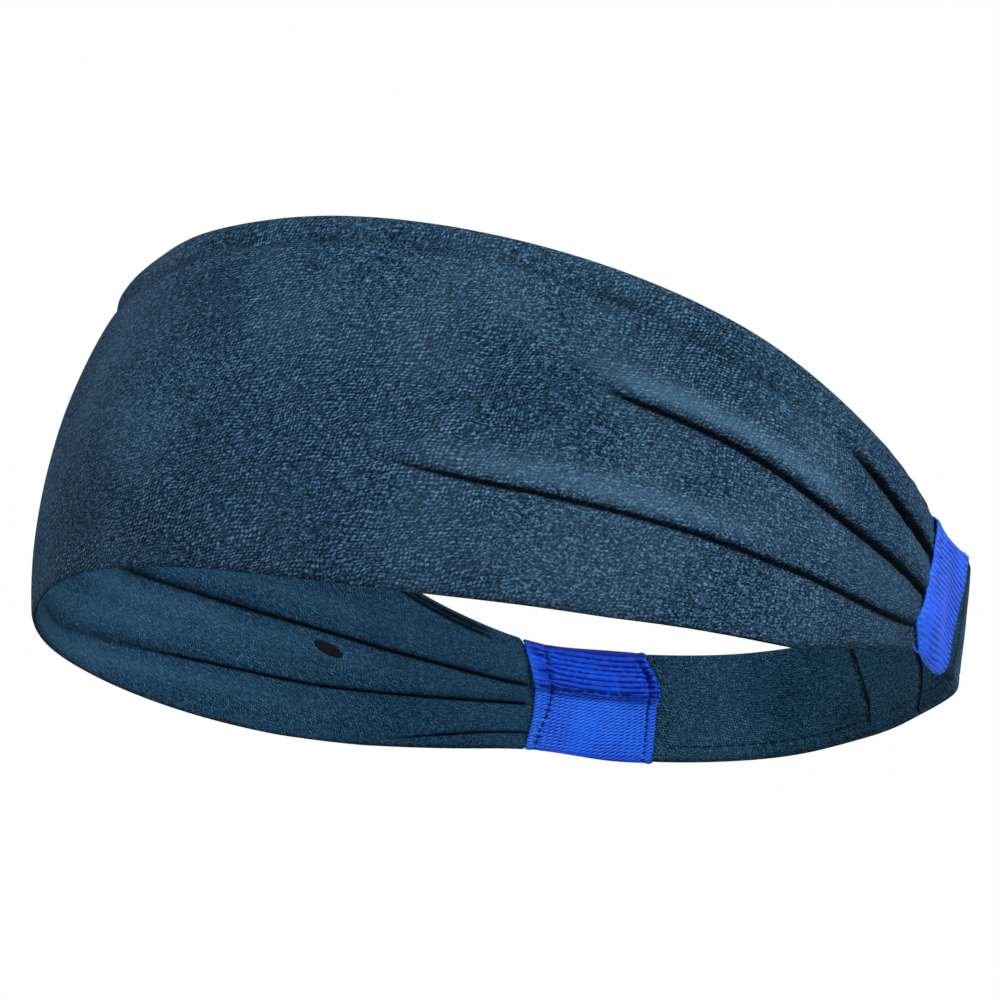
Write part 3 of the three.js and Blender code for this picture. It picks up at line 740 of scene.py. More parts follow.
def tab_sides(right, rise, inner):
    """How far the tab's two sides wander, as shares of its width. inner: 1 on the inner face."""
    if right:
        waist = np.interp(
            rise, [0, 0.3, 0.46, 0.58, 0.8, 1], [0, 0.07, 0.088, 0.095, 0.052, 0]
        )
        belly = np.interp(
            rise,
            [0, 0.1, 0.355, 0.5, 0.62, 0.74, 0.88, 1],
            [0, 0.035, 0.06, 0.075, 0.115, 0.115, 0.05, 0],
        )
    else:
        waist = np.interp(rise, [0, 0.3, 0.6, 0.8, 1], [0, 0.03, 0.05, 0.03, 0])
        belly = np.interp(rise, [0, 0.3, 0.6, 0.8, 1], [0, 0.02, 0.03, 0.02, 0])
    arch = np.sin(np.pi * rise)
    outer_waist = (0.03 + 0.022 * np.sin(9.0 * rise + 0.6)) * arch + 0.012 * np.sin(23.0 * rise)
    outer_belly = 0.014 * np.sin(8.0 * rise + 2.0) * arch + 0.008 * np.sin(19.0 * rise)
    panel_side = mix(outer_waist, waist, inner)
    strap_side = mix(outer_belly, belly, inner)
    if not right:  # the left ribbon's bottom corner is set back
        corner = 0.235 * (1 - smooth(0.0, 0.19, rise)) - 0.02 * bell(rise - 0.2, 0.1)
        panel_side = panel_side + corner + 0.07 * (1 - smooth(0.0, 0.06, rise))
        strap_side = strap_side + 0.04 * (1 - smooth(0.0, 0.2, rise))
    return panel_side, strap_side


def stitch_columns(right, rise):
    """Where the panel and strap stitch rows cross the tab, as shares of its width."""
    if right:
        knots = [0.05, 0.2, 0.42, 0.75, 1], [0.07, 0.085, 0.125, 0.15, 0.18]
        return np.interp(rise, *knots), 0.93
    return 0.125 + 0.01 * np.sin(5 * rise), 0.9


def build_tab(name, tab, right):
    """The wrapped ribbon: rows along its length, columns across its width."""
    selvedge = [0.003, 0.006, 0.012, 0.988, 0.994, 0.997]
    across = np.sort(np.concatenate([np.linspace(0, 1, 108), selvedge]))
    _, run = even_rows(tab, 0.5)
    paths = np.stack([even_rows(tab, share)[0] for share in across], 1)
    across = across[None]
    half = tab_half(across)
    thin = half * tab_thin(across, paths[..., 0]) + RIBBON / 2
    paths[..., 1] *= thin / (half + RIBBON / 2)
    along = np.gradient(paths, axis=0)
    normal = unit(np.stack([-along[..., 1], along[..., 0]], -1))
    up, off = paths[..., 0], paths[..., 1]
    height = height_at(tab_angle(tab, across, 0.5))
    rise = np.clip(up / height, 0, 1)
    inner = smooth(0.6, -0.6, off)
    part = run / run[-1]
    flap = (part[:, None] > 0.76) * inner  # the covering end, on the inner face
    under = (part[:, None] < 0.33) * inner

    # rib pitch along the wrap: finest low on the inner face, widest on the covering end
    pitch = np.interp(
        part,
        [0, 0.27, 0.33, 0.4, 0.66, 0.74, 0.79, 1],
        [0.74, 0.74, 0.9, 1.04, 1.04, 1.1, 1.16, 1.16],
    )
    phase = np.concatenate([[0], np.cumsum(np.diff(run) / pitch[1:])])[:, None]
    rib_height = np.interp(
        part, [0, 0.27, 0.36, 0.66, 0.79, 1], [0.13, 0.13, 0.2, 0.2, 0.25, 0.25]
    )[:, None]
    run = run[:, None]
    panel_column, strap_column = stitch_columns(right, rise)
    from_panel, from_strap = across - panel_column, across - strap_column
    phase = phase + 0.12 * np.sin(across * 5.1 + 1.0)
    phase = phase + 0.3 * ripple(across * 30, run / FULL_HEIGHT, 41 + right, 1.6)
    phase = phase + 0.35 * bell(from_panel, 0.05) * np.sin(2 * np.pi * run / 3.1)
    phase = phase + 0.22 * bell(from_strap, 0.03) * np.sin(2 * np.pi * run / 2.7 + 1)
    if not right:  # the ribs bow on the outer face
        bow = 0.9 * (across - 0.5) ** 2 * 4
        phase = phase + bow * (1 - inner) * np.sin(np.pi * rise) ** 0.5
    phase = phase + 1.1 * under * (across - 0.2)
    wave = np.abs(np.sin(np.pi * phase))
    rib = wave**0.7
    strength = 0.75 + 0.45 * ripple(across * 26, run / FULL_HEIGHT, 52 + right, 1.0)
    relief = (rib - 0.55) * rib_height * np.clip(strength, 0.45, 1.35)
    # woven twist along each rib
    twist = across * RIBBON_WIDTH / 0.62 + 0.5 * np.floor(phase)
    relief += 0.02 * np.sin(2 * np.pi * twist) * rib
    # stitch columns press the ribbon down, with a pucker at every stitch
    pucker = 0.55 + 0.45 * np.cos(2 * np.pi * run / 1.45 + 0.6 * np.sin(run * 0.9))
    pressed = 0.34 * bell(from_panel, 0.022) + 0.28 * bell(from_strap, 0.018)
    relief -= mix(0.06, 1.0, inner) * pressed * pucker
    relief += 0.22 * bell(from_panel + 0.06, 0.035) * (1 - 0.4 * pucker) * (0.1 + 0.9 * inner)
    relief += 0.13 * bell(from_panel - 0.05, 0.03) * pucker * inner
    relief += 0.14 * bell(across - 0.978, 0.02)
    # slow unevenness and a soft crown between the stitch columns
    crown = np.sin(np.pi * np.clip((across - 0.15) / 0.75, 0, 1)) * 0.16
    relief += crown * (0.5 + 0.5 * (1 - inner))
    relief += 0.1 * ripple(across * 22, rise, 61 + right, 1.1)
    # the stitches that hold the lap pull a shallow gutter just above the covering end's edge
    from_lap = (up - (LAP_AT * height + 0.85)) * flap + 9 * (1 - flap)
    relief -= 0.2 * bell(from_lap, 0.45) * smooth(0.08, 0.14, across)
    # painted shade, in the loose corner's hollow, the pits beside the lumps, the stitch holes and
    # the lap's gutter
    painted_shade = np.zeros_like(relief)
    if right:
        # the covering end's loose corner is folded back on the strap's side
        relief += 0.8 * flap * bell(rise - 0.74, 0.12) * bell(across - 0.985, 0.03)
        relief -= 0.6 * flap * bell(rise - 0.79, 0.07) * bell(across - 0.935, 0.024)
        painted_shade = flap * bell(rise - 0.8, 0.06) * bell(across - 0.938, 0.02)
        # lumps where the band's gathered end is sewn in
        lumps = np.sin(2 * np.pi * rise * 6.5 + 9 * across)
        relief += 0.3 * flap * bell(across - 0.1, 0.07) * lumps
        pits = np.clip(np.sin(2 * np.pi * rise * 9.0 + 14 * across), 0, 1)
        painted_shade = np.maximum(painted_shade, 0.55 * flap * bell(across - 0.13, 0.035) * pits)
    holes = (0.95 * bell(from_panel, 0.019) + 0.9 * bell(from_strap, 0.015)) * pucker**2
    painted_shade = np.maximum(painted_shade, inner * np.clip(holes, 0, 1))
    painted_shade = np.maximum(painted_shade, 0.55 * bell(from_lap, 0.3))

    # the ribbon thins at its selvedge, and its weft turns in small loops there
    edge = np.clip(np.exp(-across / 0.010) + np.exp(-(1 - across) / 0.010), 0, 1)
    half_thick = RIBBON / 2 * (1 - 0.5 * edge)
    loops = 0.0045 * np.cos(2 * np.pi * phase)
    panel_side, strap_side = tab_sides(right, rise, inner)
    share = mix(panel_side - loops, 1 + strap_side + loops, across)

    def face(columns, out):
        shift = normal[:, columns] * out[..., None]
        return tab_place(
            tab, share[:, columns], up[:, columns] + shift[..., 0], off[:, columns] + shift[..., 1]
        )

    front = face(slice(None), half_thick + relief)
    picks = np.round(np.linspace(0, across.size - 1, 9)).astype(int)
    dent = np.clip(relief[:, picks], -0.05, 0.02)
    back = face(picks, -(half_thick[:, picks] * 0.95 - dent))
    uv = np.stack(np.broadcast_arrays(across * RIBBON_WIDTH, run), -1)
    # painted shade along the top fold, strong on the right tab
    fold = bell(up - height + 0.45, 0.85) * smooth(1.6, 0.2, off) * (1.0 if right else 0.4)
    attrs = {
        "groove": np.clip(1 - wave**1.35, 0, 1) * np.clip(strength * 1.2, 0.5, 1),
        "painted_shade": painted_shade,
        "tone": mix(0.5, np.where(flap > 0.3, 1.0, 0.0), inner),
        "fold": np.clip(fold, 0, 1),
    }
    return solid_sheet(name, front, back, uv, attrs, flip=not right)


def tab_inner_off(along, up, height):
    """How far the ribbon's inner face lies from the middle surface, lap included."""
    lap = LAP_AT * height
    end = lap + LAP_LENGTH
    raised = window(up, lap - 0.5, lap, end + 0.6, end + 2)
    return tab_half(along) * tab_thin(along, up) + RIBBON + raised * (RIBBON + LAP_GAP)


def build_tab_column(name, tab, right, column, seed):
    """A stitch row up a tab's inner face; its other side sinks between the outer ribs."""
    margin, sunk = 1.6, 0.2
    mid_height = height_at(tab_angle(tab, 0.5, 0.5))

    def row(run):
        rise = (margin + run) / mid_height
        panel_side, strap_side = tab_sides(right, rise, 1.0)
        along = mix(panel_side, 1 + strap_side, stitch_columns(right, rise)[column])
        height = height_at(tab_angle(tab, along, 0.5))
        up = rise * height
        points = tab_place(tab, along, up, -(tab_inner_off(along, up, height) - sunk))
        return points, -tab_outward(tab, along, rise)

    total = mid_height - 2 * margin
    paths = stitches(row, total, length=1.1, gap=0.35, radius=0.19, seed=seed)
    return tubes(name, paths, 0.17)


def build_tab_overlap(name, tab, right):
    """The stitch row across the lap."""

    def row(run):
        along = 0.13 + run / RIBBON_WIDTH
        up = LAP_AT * height_at(tab_angle(tab, along, 0.5)) + 0.85 + 0.1 * np.sin(run * 0.7)
        points = tab_place(tab, along, up, -(tab_half(along) + 2 * RIBBON + LAP_GAP))
        return points, -tab_outward(tab, along, LAP_AT)

    paths = stitches(row, 20.4, length=2.0, gap=0.45, radius=0.19, seed=9 + right)
    return tubes(name, paths, 0.19)


def build_gather(side, tab):
    """The hidden thread between the plies that holds the gathered end."""
    along, start = 0.2, 4.0
    height = height_at(tab_angle(tab, along, 0.5))

    def row(run):
        up = start + run
        points = tab_place(tab, along + 0.004 * np.sin(run * 2.0), up, 0.0)
        return points, tab_outward(tab, along, up / height)

    paths = stitches(row, height - 6.5, length=1.6, gap=0.3, radius=0.1, seed=61)
    return tubes(f"{side}_gather_thread", paths, 0.09)


# ------------------------------------------------------------------ the rear strap
# (rise, angle) knots of the seam across the strap's inner face and of the fold beside it
CROSS_SEAM = [
    (0.0, 158.9), (0.06, 158.5), (0.24, 158.2), (0.38, 158.5), (0.53, 159.8), (0.8, 161.2),
    (1.0, 162.0),
]
WRINKLE = [(0.0, 174.0), (0.07, 174.2), (0.31, 174.5), (0.54, 175.8), (0.70, 176.8), (1.0, 178.6)]
# shallow upright streaks, with painted shade in them: angle, depth, lean in degrees from bottom to
# top
STREAKS = [(166.2, 0.13, 3.0), (168.4, 0.1, -2.0), (180.2, 0.12, 3.5), (184.6, 0.08, 2.0)]


def strap_grid(columns, rows, extra=0.0, reach=STRAP_REACH):
    """Angle, rise, share of the grid's height, strap height, and mm beyond the nearer tab."""
    along = np.linspace(0, 1, columns + 1)[:, None]
    share = cluster(rows, 0.55)[None]
    right = tab_angle(RIGHT_TAB, reach, share) + 360
    angle = mix(tab_angle(LEFT_TAB, reach, share), right, along)
    past_left = (angle - tab_angle(LEFT_TAB, 1, share)) * MM_PER_DEGREE
    past_right = (tab_angle(RIGHT_TAB, 1, share) + 360 - angle) * MM_PER_DEGREE
    beyond = np.minimum(past_left, past_right)
    height = height_at(angle)
    inset = (mix(TAB_INSET, 0.25, smooth(-0.6, 0.5, beyond)) + extra) / height
    return angle, mix(inset, 1 - inset, share), share, height, beyond


def strap_inner_offset(angle, rise, height, beyond):
    clear = smooth(0, 5, beyond)  # 0 inside the tabs
    arch = np.sin(np.pi * rise)
    # the seam across, with a puff on each side and painted shade in its groove
    x = (angle - np.interp(rise, *zip(*CROSS_SEAM))) * MM_PER_DEGREE
    puffs = 0.3 * bell(x - 1.4, 1.0) + 0.2 * bell(x + 1.5, 1.1)
    off = STRAP_HALF + clear * (-0.8 * np.exp(-np.abs(x) / 0.4) + puffs)
    painted_shade = bell(x, 0.7)
    # the wrinkle, deepest above the bottom edge, with painted shade in it
    x = (angle - np.interp(rise, *zip(*WRINKLE))) * MM_PER_DEGREE
    fade = smooth(0.0, 0.2, rise)
    puffs = 0.5 * bell(x - 1.9, 1.2) + 0.34 * bell(x + 2.4, 1.7)
    off += clear * fade * (-0.85 * bell(x, 0.75) + puffs)
    painted_shade = np.maximum(painted_shade, 0.95 * bell(x, 0.62) * fade)
    painted_shade = np.maximum(painted_shade, 0.3 * bell(x + 1.0, 1.2) * fade)
    for at, depth, lean in STREAKS:
        x = (angle - at - lean * (rise - 0.5)) * MM_PER_DEGREE + 0.25 * np.sin(rise * 9.0 + at)
        streak = bell(x, 0.45) * np.sin(np.pi * np.clip(rise, 0, 1))
        off -= clear * depth * streak
        painted_shade = np.maximum(painted_shade, 1.8 * depth * streak)
    # a low slanting ridge in the upper half
    x = (angle - 172.0 + 5 * (rise - 0.5)) * MM_PER_DEGREE
    off += clear * (0.1 * bell(x, 1.2) - 0.12 * bell(x + 2.2, 1.0)) * smooth(0.2, 0.6, rise)
    # the casing seam's gutter, with painted shade in it
    above_seam = rise * height - 3.3
    off -= clear * 0.16 * bell(above_seam, 0.4)
    painted_shade = np.maximum(painted_shade, 0.22 * bell(above_seam, 0.3))
    waves = 0.13 * np.sin(angle * 0.9 + 2.0 * rise) * arch
    off += clear * (waves + 0.1 * ripple(angle, rise, 77, 0.7))
    # fine upright ribs where the elastic draws the casing up
    ribs = np.sin(angle * MM_PER_DEGREE * 1.15 + 0.8 * np.sin(rise * 6))
    off += clear * 0.035 * ribs * arch
    return off, np.clip(painted_shade, 0, 1)


def strap_outer_offset(angle, rise, share, height, beyond):
    clear = smooth(0, 5, beyond)
    waves = 0.14 * np.sin(angle * 0.8 + 1.3 - 2.0 * rise) * np.sin(np.pi * rise)
    off = STRAP_HALF + clear * (waves + 0.1 * ripple(angle, rise, 91, 0.8))
    # the casing seam's gutter, with painted shade in it
    above_seam = rise * height - 3.3
    off -= clear * 0.16 * bell(above_seam, 0.4)
    painted_shade = 0.25 * bell(above_seam, 0.3)
    # crumpled where the casing turns out of the left tab, with painted shade over that end of the
    # strap, darkest low down
    near = (angle - tab_angle(LEFT_TAB, 1, share)) * MM_PER_DEGREE
    crush = window(near, -0.5, 0.6, 7.0, 15.0)
    fold = near - 2.2 + 2.0 * (rise - 0.4)
    off += clear * crush * (0.22 * bell(fold - 2.0, 1.1) - 0.2 * bell(fold - 4.2, 0.8))
    shade = 0.4 + 0.2 * bell(fold - 4.2, 1.0) + 0.22 * (1 - smooth(0.1, 0.45, rise))
    shade = shade + 0.12 * ripple(angle, rise, 95, 0.8)
    return off, np.maximum(painted_shade, crush * shade)


def build_strap(name, outer):
    angle, rise, share, height, beyond = strap_grid(420, 52)
    if outer:
        off, painted_shade = strap_outer_offset(angle, rise, share, height, beyond)
    else:
        off, painted_shade = strap_inner_offset(angle, rise, height, beyond)
    sign = 1 if outer else -1
    off = round_rims(off, share, height, bottom=1.1, top=1.1, floor=0.04)
    back_share = [0, 0.05, 0.1, 0.2, 0.35, 0.5, 0.65, 0.8, 0.9, 0.95, 1.0]
    back_angle, back_rise = (
        np.stack([np.interp(back_share, share[0], column) for column in grid])
        for grid in (angle, rise)
    )
    back_off = np.array([0.04, 0.5, *[0.62] * 7, 0.5, 0.04])
    back = place(back_angle, back_rise, sign * back_off)
    uv = np.stack([angle * MM_PER_DEGREE, rise * height], -1) + [5.0, 90.0]
    attrs = {"painted_shade": painted_shade, "edge": near_edge(share, height), "taut": 0.25 + 0 * painted_shade}
    return solid_sheet(name, place(angle, rise, sign * off), back, uv, attrs, flip=not outer)


def build_elastic():
    angle, rise, share, height, _ = strap_grid(240, 64, extra=1.0, reach=STRAP_REACH + 0.06)
    off = 0.44 + 0.05 * np.abs(np.sin(np.pi * rise * height / CORD_PITCH))
    off = round_rims(off, share, height, bottom=0.45, top=0.45, floor=0.02)
    every = slice(None, None, 4)
    back = place(angle[:, every], rise[:, every], -off[:, every])
    uv = np.stack([angle * MM_PER_DEGREE, rise * height], -1)
    front = place(angle, rise, off)
    return solid_sheet("elastic_core_web", front, back, uv, {"painted_shade": 0 * off})


def build_casing_seam():
    """The stitch row near the strap's bottom edge, on both faces."""

    def inner(run):
        angle = CASING_FROM + run / MM_PER_DEGREE
        rise = np.interp(angle, [140, 208, 212], [CASING_RISE, CASING_RISE, 0.13])
        off, _ = strap_inner_offset(angle, rise, height_at(angle), 20)
        return place(angle, rise, -(off - 0.06)), -outward(angle, CASING_RISE)

    def outer(run):
        angle = CASING_FROM + run / MM_PER_DEGREE
        off = STRAP_HALF - 0.16 - 0.04
        return place(angle, CASING_RISE, off), outward(angle, CASING_RISE)

    total = (CASING_TO - CASING_FROM) * MM_PER_DEGREE
    paths = []
    for row, seed in ((inner, 31), (outer, 33)):
        paths += stitches(row, total, length=2.2, gap=0.6, radius=0.14, seed=seed)
    return tubes("strap_casing_thread", paths, 0.14)


def build_cross_seam():
    def row(run):
        rise = (1.0 + run) / 22.0
        angle = np.interp(rise, *zip(*CROSS_SEAM))
        off, _ = strap_inner_offset(angle, rise, height_at(angle), 20)
        return place(angle, rise, -(off + 0.02)), -outward(angle, rise)

    paths = stitches(row, 20.0, length=1.7, gap=0.25, radius=0.15, seed=35)
    return tubes("strap_cross_thread", paths, 0.15)


# ------------------------------------------------------------------ shader graphs
def srgb(*channels):
    """A linear colour from red, green and blue of 0 to 255."""
    parts = [channel / 255 for channel in channels]
    parts = [c / 12.92 if c <= 0.04045 else ((c + 0.055) / 1.055) ** 2.4 for c in parts]
    return (*parts, 1.0)


class Value:
    """A node's output that takes arithmetic."""

    def __init__(self, graph, socket):
        self.graph, self.socket = graph, socket

    def math(self, operation, *values, clamp=False):
        inputs = dict(enumerate(values))
        return self.graph.value(
            "ShaderNodeMath", inputs, operation=operation, use_clamp=clamp
        )

    def __add__(self, other):
        return self.math("ADD", self, other)

    __radd__ = __add__

    def __sub__(self, other):
        return self.math("SUBTRACT", self, other)

    def __rsub__(self, other):
        return self.math("SUBTRACT", other, self)

    def __mul__(self, other):
        return self.math("MULTIPLY", self, other)

    def __truediv__(self, other):
        return self.math("DIVIDE", self, other)

    def __pow__(self, other):
        return self.math("POWER", self, other)

    def floor(self):
        return self.math("FLOOR", self)

    def fract(self):
        return self.math("FRACT", self)

    def abs(self):
        return self.math("ABSOLUTE", self)

    def sin(self):
        return self.math("SINE", self)

    def clamp(self):
        return self.math("ADD", self, 0.0, clamp=True)

    def ramp(self, low, high, start=0.0, end=1.0, kind="SMOOTHSTEP"):
        """Maps low..high to start..end."""
        inputs = {"Value": self, "From Min": low, "From Max": high, "To Min": start, "To Max": end}
        return self.graph.value("ShaderNodeMapRange", inputs, "Result", interpolation_type=kind)

    def line(self, low, high, start=0.0, end=1.0):
        return self.ramp(low, high, start, end, kind="LINEAR")

    def blend(self, color, other):
        """From color to other as this value goes from 0 to 1."""
        inputs = {"Factor": self, 6: color, 7: other}
        return self.graph.value("ShaderNodeMix", inputs, 2, data_type="RGBA")


class Graph:
    """The node tree of a material or world."""

    def __init__(self, owner, output="ShaderNodeOutputMaterial"):
        owner.use_nodes = True
        self.owner = owner
        self.tree = owner.node_tree
        self.tree.nodes.clear()
        self.output = self.node(output)

    def link(self, value, socket):
        if isinstance(value, Value):
            self.tree.links.new(value.socket, socket)
        else:
            socket.default_value = value

    def node(self, kind, inputs=None, **settings):
        node = self.tree.nodes.new(kind)
        for key, setting in settings.items():
            setattr(node, key, setting)
        for key, value in (inputs or {}).items():
            self.link(value, node.inputs[key])
        return node

    def value(self, kind, inputs=None, output=0, **settings):
        return Value(self, self.node(kind, inputs, **settings).outputs[output])

    def surface(self, shader):
        self.link(shader, self.output.inputs["Surface"])
        return self.owner

    def uv(self):
        uv_map = self.value("ShaderNodeUVMap", uv_map="mm")
        split = self.node("ShaderNodeSeparateXYZ", {0: uv_map})
        return Value(self, split.outputs[0]), Value(self, split.outputs[1])

    def attr(self, name):
        return self.value("ShaderNodeAttribute", output="Fac", attribute_name=name)

    def vector(self, x, y, z):
        return self.value("ShaderNodeCombineXYZ", {0: x, 1: y, 2: z})

    def object_place(self):
        return self.value("ShaderNodeTexCoord", output="Object")

    def white(self, x, y, z):
        inputs = {"Vector": self.vector(x, y, z)}
        return self.value("ShaderNodeTexWhiteNoise", inputs, "Value", noise_dimensions="3D")

    def noise(self, vector, scale, detail=2.0, rough=0.5):
        inputs = {"Vector": vector, "Scale": scale, "Detail": detail, "Roughness": rough}
        return self.value("ShaderNodeTexNoise", inputs, "Fac", noise_dimensions="3D")

    def finish(
        self, color, rough, bump, distance, specular, strength=1.0, sheen=0.0, sheen_tint=None
    ):
        """A principled surface with a bump of the given distance in metres."""
        inputs = {"Height": bump, "Distance": distance, "Strength": strength}
        surface = {
            "Base Color": color,
            "Roughness": rough,
            "Specular IOR Level": specular,
            "Sheen Weight": sheen,
            "Sheen Roughness": 0.5,
            "Normal": self.value("ShaderNodeBump", inputs),
        }
        if sheen_tint is not None:
            surface["Sheen Tint"] = sheen_tint
        return self.surface(self.value("ShaderNodeBsdfPrincipled", surface))


def new_graph(name):
    return Graph(bpy.data.materials.new(name))


# ------------------------------------------------------------------ materials
def yarn_legs(graph, x, y, pitch_x, pitch_y, slope, width, seed):
    """Rows of slanted yarn legs, staggered row by row: height 0..1, and a random value each."""
    down = y / pitch_y
    row = down.floor()
    in_y = down.fract() - 0.5
    over = x / pitch_x + row * 0.5 + graph.white(row, seed, 3.7) * 0.3
    column = over.floor()
    in_x = over.fract() - 0.5
    chance = graph.white(column, row, seed)
    lean = graph.white(row, column, seed + 5.0) - 0.5
    across = (in_y - in_x * slope + lean * 0.22).abs()
    body = (1.0 - across / width).clamp() ** 1.25
    ends = (1.0 - (in_x * 2.0).abs() ** 4.0).clamp()
    return body * ends, chance


def knit_material(name, dark, mid, light, seed, contrast, grain=1.0, fine=1.0):
    """Heathered knit. grain scales the specks and fine the size of the yarn legs."""
    graph = new_graph(name)
    x, y = graph.uv()

    def noise(layer, scale, detail=2.0, rough=0.5, stretch=None):
        wide, tall = stretch or (x, y)
        return graph.noise(graph.vector(wide, tall, seed + layer), scale, detail, rough)

    # the grid bends slowly and jitters finely
    bent_x = x + (noise(0, 0.09, 1.0) - 0.5) * 5.0 + (noise(19.0, 0.8) - 0.5) * 0.9
    bent_y = y + (noise(9.0, 0.11, 1.0) - 0.5) * 4.0 + (noise(29.0, 0.8) - 0.5) * 0.55
    taut = graph.attr("taut")
    cosine, sine = math.cos(math.radians(12)), math.sin(math.radians(12))
    turned_x = bent_x * cosine + bent_y * sine
    turned_y = bent_y * cosine - bent_x * sine
    loose, loose_chance = yarn_legs(
        graph, turned_x, turned_y, pitch_x=0.93 * fine, pitch_y=0.65 * fine,
        slope=0.5, width=0.5, seed=seed,
    )
    # the finer grid that shows where the cloth is pulled towards a tab
    tight, tight_chance = yarn_legs(
        graph, bent_x, bent_y, pitch_x=0.62 * fine, pitch_y=0.56 * fine,
        slope=0.0, width=0.48, seed=seed + 17.0,
    )
    patch = (noise(4.0, 0.06).ramp(0.5, 0.62) * 0.4 + taut.ramp(0.3, 0.95) * 0.45).clamp()
    speck = noise(2.0, 2.15, rough=0.8, stretch=(x, y * 1.35))
    heather = noise(3.0, 1.0, rough=0.65, stretch=(x * 0.8, y * 1.4))
    mottle = noise(40.0, 0.035, rough=0.55).ramp(0.44, 0.58)
    loose_light = loose * (0.42 + loose_chance * 0.50) * (1.0 - mottle * 0.45) + mottle * 0.14
    tight_light = tight * (0.38 + tight_chance * 0.42)
    legs = loose + (tight - loose) * patch
    lit = loose_light + (tight_light - loose_light) * patch
    lit = lit + (speck - 0.5) * (mottle * 1.1 + 1.7) * grain + (heather - 0.5) * (1.3 * grain)
    lit = (lit - 0.3) * contrast + 0.3
    color = lit.line(-0.10, 0.36).blend(dark, mid)
    color = lit.line(0.32, 1.05).blend(color, light)
    # slow cloudiness, and a slight drift between teal and slate
    color = (noise(30.0, 0.045).ramp(0.35, 0.7) * 0.07).blend(color, light)
    hue = graph.white((turned_x / 1.14).floor(), (turned_y / 0.76).floor(), seed + 50.0)
    color = (hue.ramp(0.7, 0.95) * 0.12).blend(color, srgb(46, 72, 112))
    # painted highlight on the crests, painted shade in the folds and at the rims
    color = (graph.attr("painted_highlight") * 0.2).blend(color, light)
    color = (graph.attr("painted_shade").ramp(0.04, 0.85) * 0.95).blend(color, srgb(1, 3, 7))
    color = (graph.attr("edge") * 0.5).blend(color, srgb(4, 10, 17))
    return graph.finish(
        color, rough=0.95, bump=legs * 0.55 + (speck - 0.5) * 0.6, distance=0.0002,
        specular=0.05, strength=0.8, sheen=0.05, sheen_tint=srgb(70, 130, 170),
    )


TURN = 6.2832  # one wave, in radians


def ribbon_material(name):
    graph = new_graph(name)
    x, y = graph.uv()
    groove = graph.attr("groove")
    tone = graph.attr("tone")  # 0 low on the inner face, 0.5 outer face, 1 covering end
    # the ribs' colour, with painted shade (the valley colours) in the grooves between them
    ridge = tone.ramp(0.5, 1.0, kind="LINEAR").blend(srgb(7, 86, 226), srgb(5, 72, 212))
    valley = tone.line(0.0, 0.5).blend(srgb(2, 26, 132), srgb(2, 20, 108))
    valley = tone.line(0.5, 1.0).blend(valley, srgb(2, 17, 116))
    depth = groove.ramp(0.12, 0.8) * tone.line(0.45, 1.0, 0.85, 1.0)
    color = depth.blend(ridge, valley)
    weft = ((x / 0.46 + (y / 1.05).floor() * 0.5) * TURN).sin()
    # bright and dark flecks, and a painted highlight along the rolled selvedge beside the panel's
    # edge
    fleck = graph.white((x / 0.7).floor(), (y / 0.5).floor(), 5.0)
    color = (fleck.ramp(0.5, 1.0) * 0.22).blend(color, srgb(34, 118, 246))
    color = (x.ramp(2.6, 0.4) * 0.3).blend(color, srgb(44, 122, 246))
    color = (fleck.ramp(0.0, 0.35, 1.0, 0.0) * 0.20).blend(color, srgb(8, 28, 140))
    # the low inner face shows the fine diagonal set of its weave
    slant = ((x / 1.15 + y / 0.74) * TURN).sin()
    diagonal = slant.ramp(0.0, 1.0) * tone.line(0.25, 0.0, 0.0, 0.5)
    color = diagonal.blend(color, srgb(84, 150, 255))
    # slow clouds, then painted shade in the stitch holes and along the top fold
    cloud = graph.noise(graph.vector(x, y, 3.0), scale=0.16)
    color = (cloud.ramp(0.45, 0.75) * 0.22).blend(color, srgb(16, 48, 180))
    color = (graph.attr("painted_shade").ramp(0.1, 0.9) * 0.9).blend(color, srgb(2, 6, 40))
    color = (graph.attr("fold") * 0.8).blend(color, srgb(3, 20, 112))
    fuzz = graph.noise(graph.vector(x, y, 8.0), scale=3.0, detail=3.0, rough=0.7)
    bump = weft * 0.18 + fuzz * 0.45 + (1.0 - groove) * 0.3
    return graph.finish(color, rough=0.5, bump=bump, distance=0.00015, specular=0.1)


def thread_material(name, color, lighter):
    graph = new_graph(name)
    twist = graph.noise(graph.object_place(), scale=3200.0, rough=0.6)
    color = twist.ramp(0.35, 0.7).blend(color, lighter)
    return graph.finish(color, rough=0.7, bump=twist, distance=0.00008, specular=0.12)


def elastic_material(name):
    graph = new_graph(name)
    x, y = graph.uv()
    cord = (y / CORD_PITCH * 3.1416).sin().abs()
    weft = (x / 0.6 * TURN).sin()
    color = cord.ramp(0.1, 0.8).blend(srgb(10, 16, 22), srgb(52, 66, 80))
    fleck = graph.white((x / 0.6).floor(), (y / CORD_PITCH).floor(), 2.0)
    color = (fleck * 0.2).blend(color, srgb(88, 100, 112))
    bump = cord * 0.6 + weft * 0.3
    return graph.finish(color, rough=0.8, bump=bump, distance=0.0002, specular=0.2)


def mark_material(name):
    graph = new_graph(name)
    spot = graph.object_place()
    grain = graph.noise(spot, scale=900.0, detail=3.0, rough=0.6)
    worn = graph.noise(spot, scale=260.0)
    color = (grain.ramp(0.4, 0.75) * 0.5).blend(srgb(1, 2, 3), srgb(6, 9, 13))
    color = (worn.ramp(0.55, 0.75) * 0.3).blend(color, srgb(12, 18, 24))
    rough = grain.ramp(0.3, 0.7, 0.6, 0.8)
    return graph.finish(color, rough=rough, bump=grain, distance=0.00008, specular=0.12)


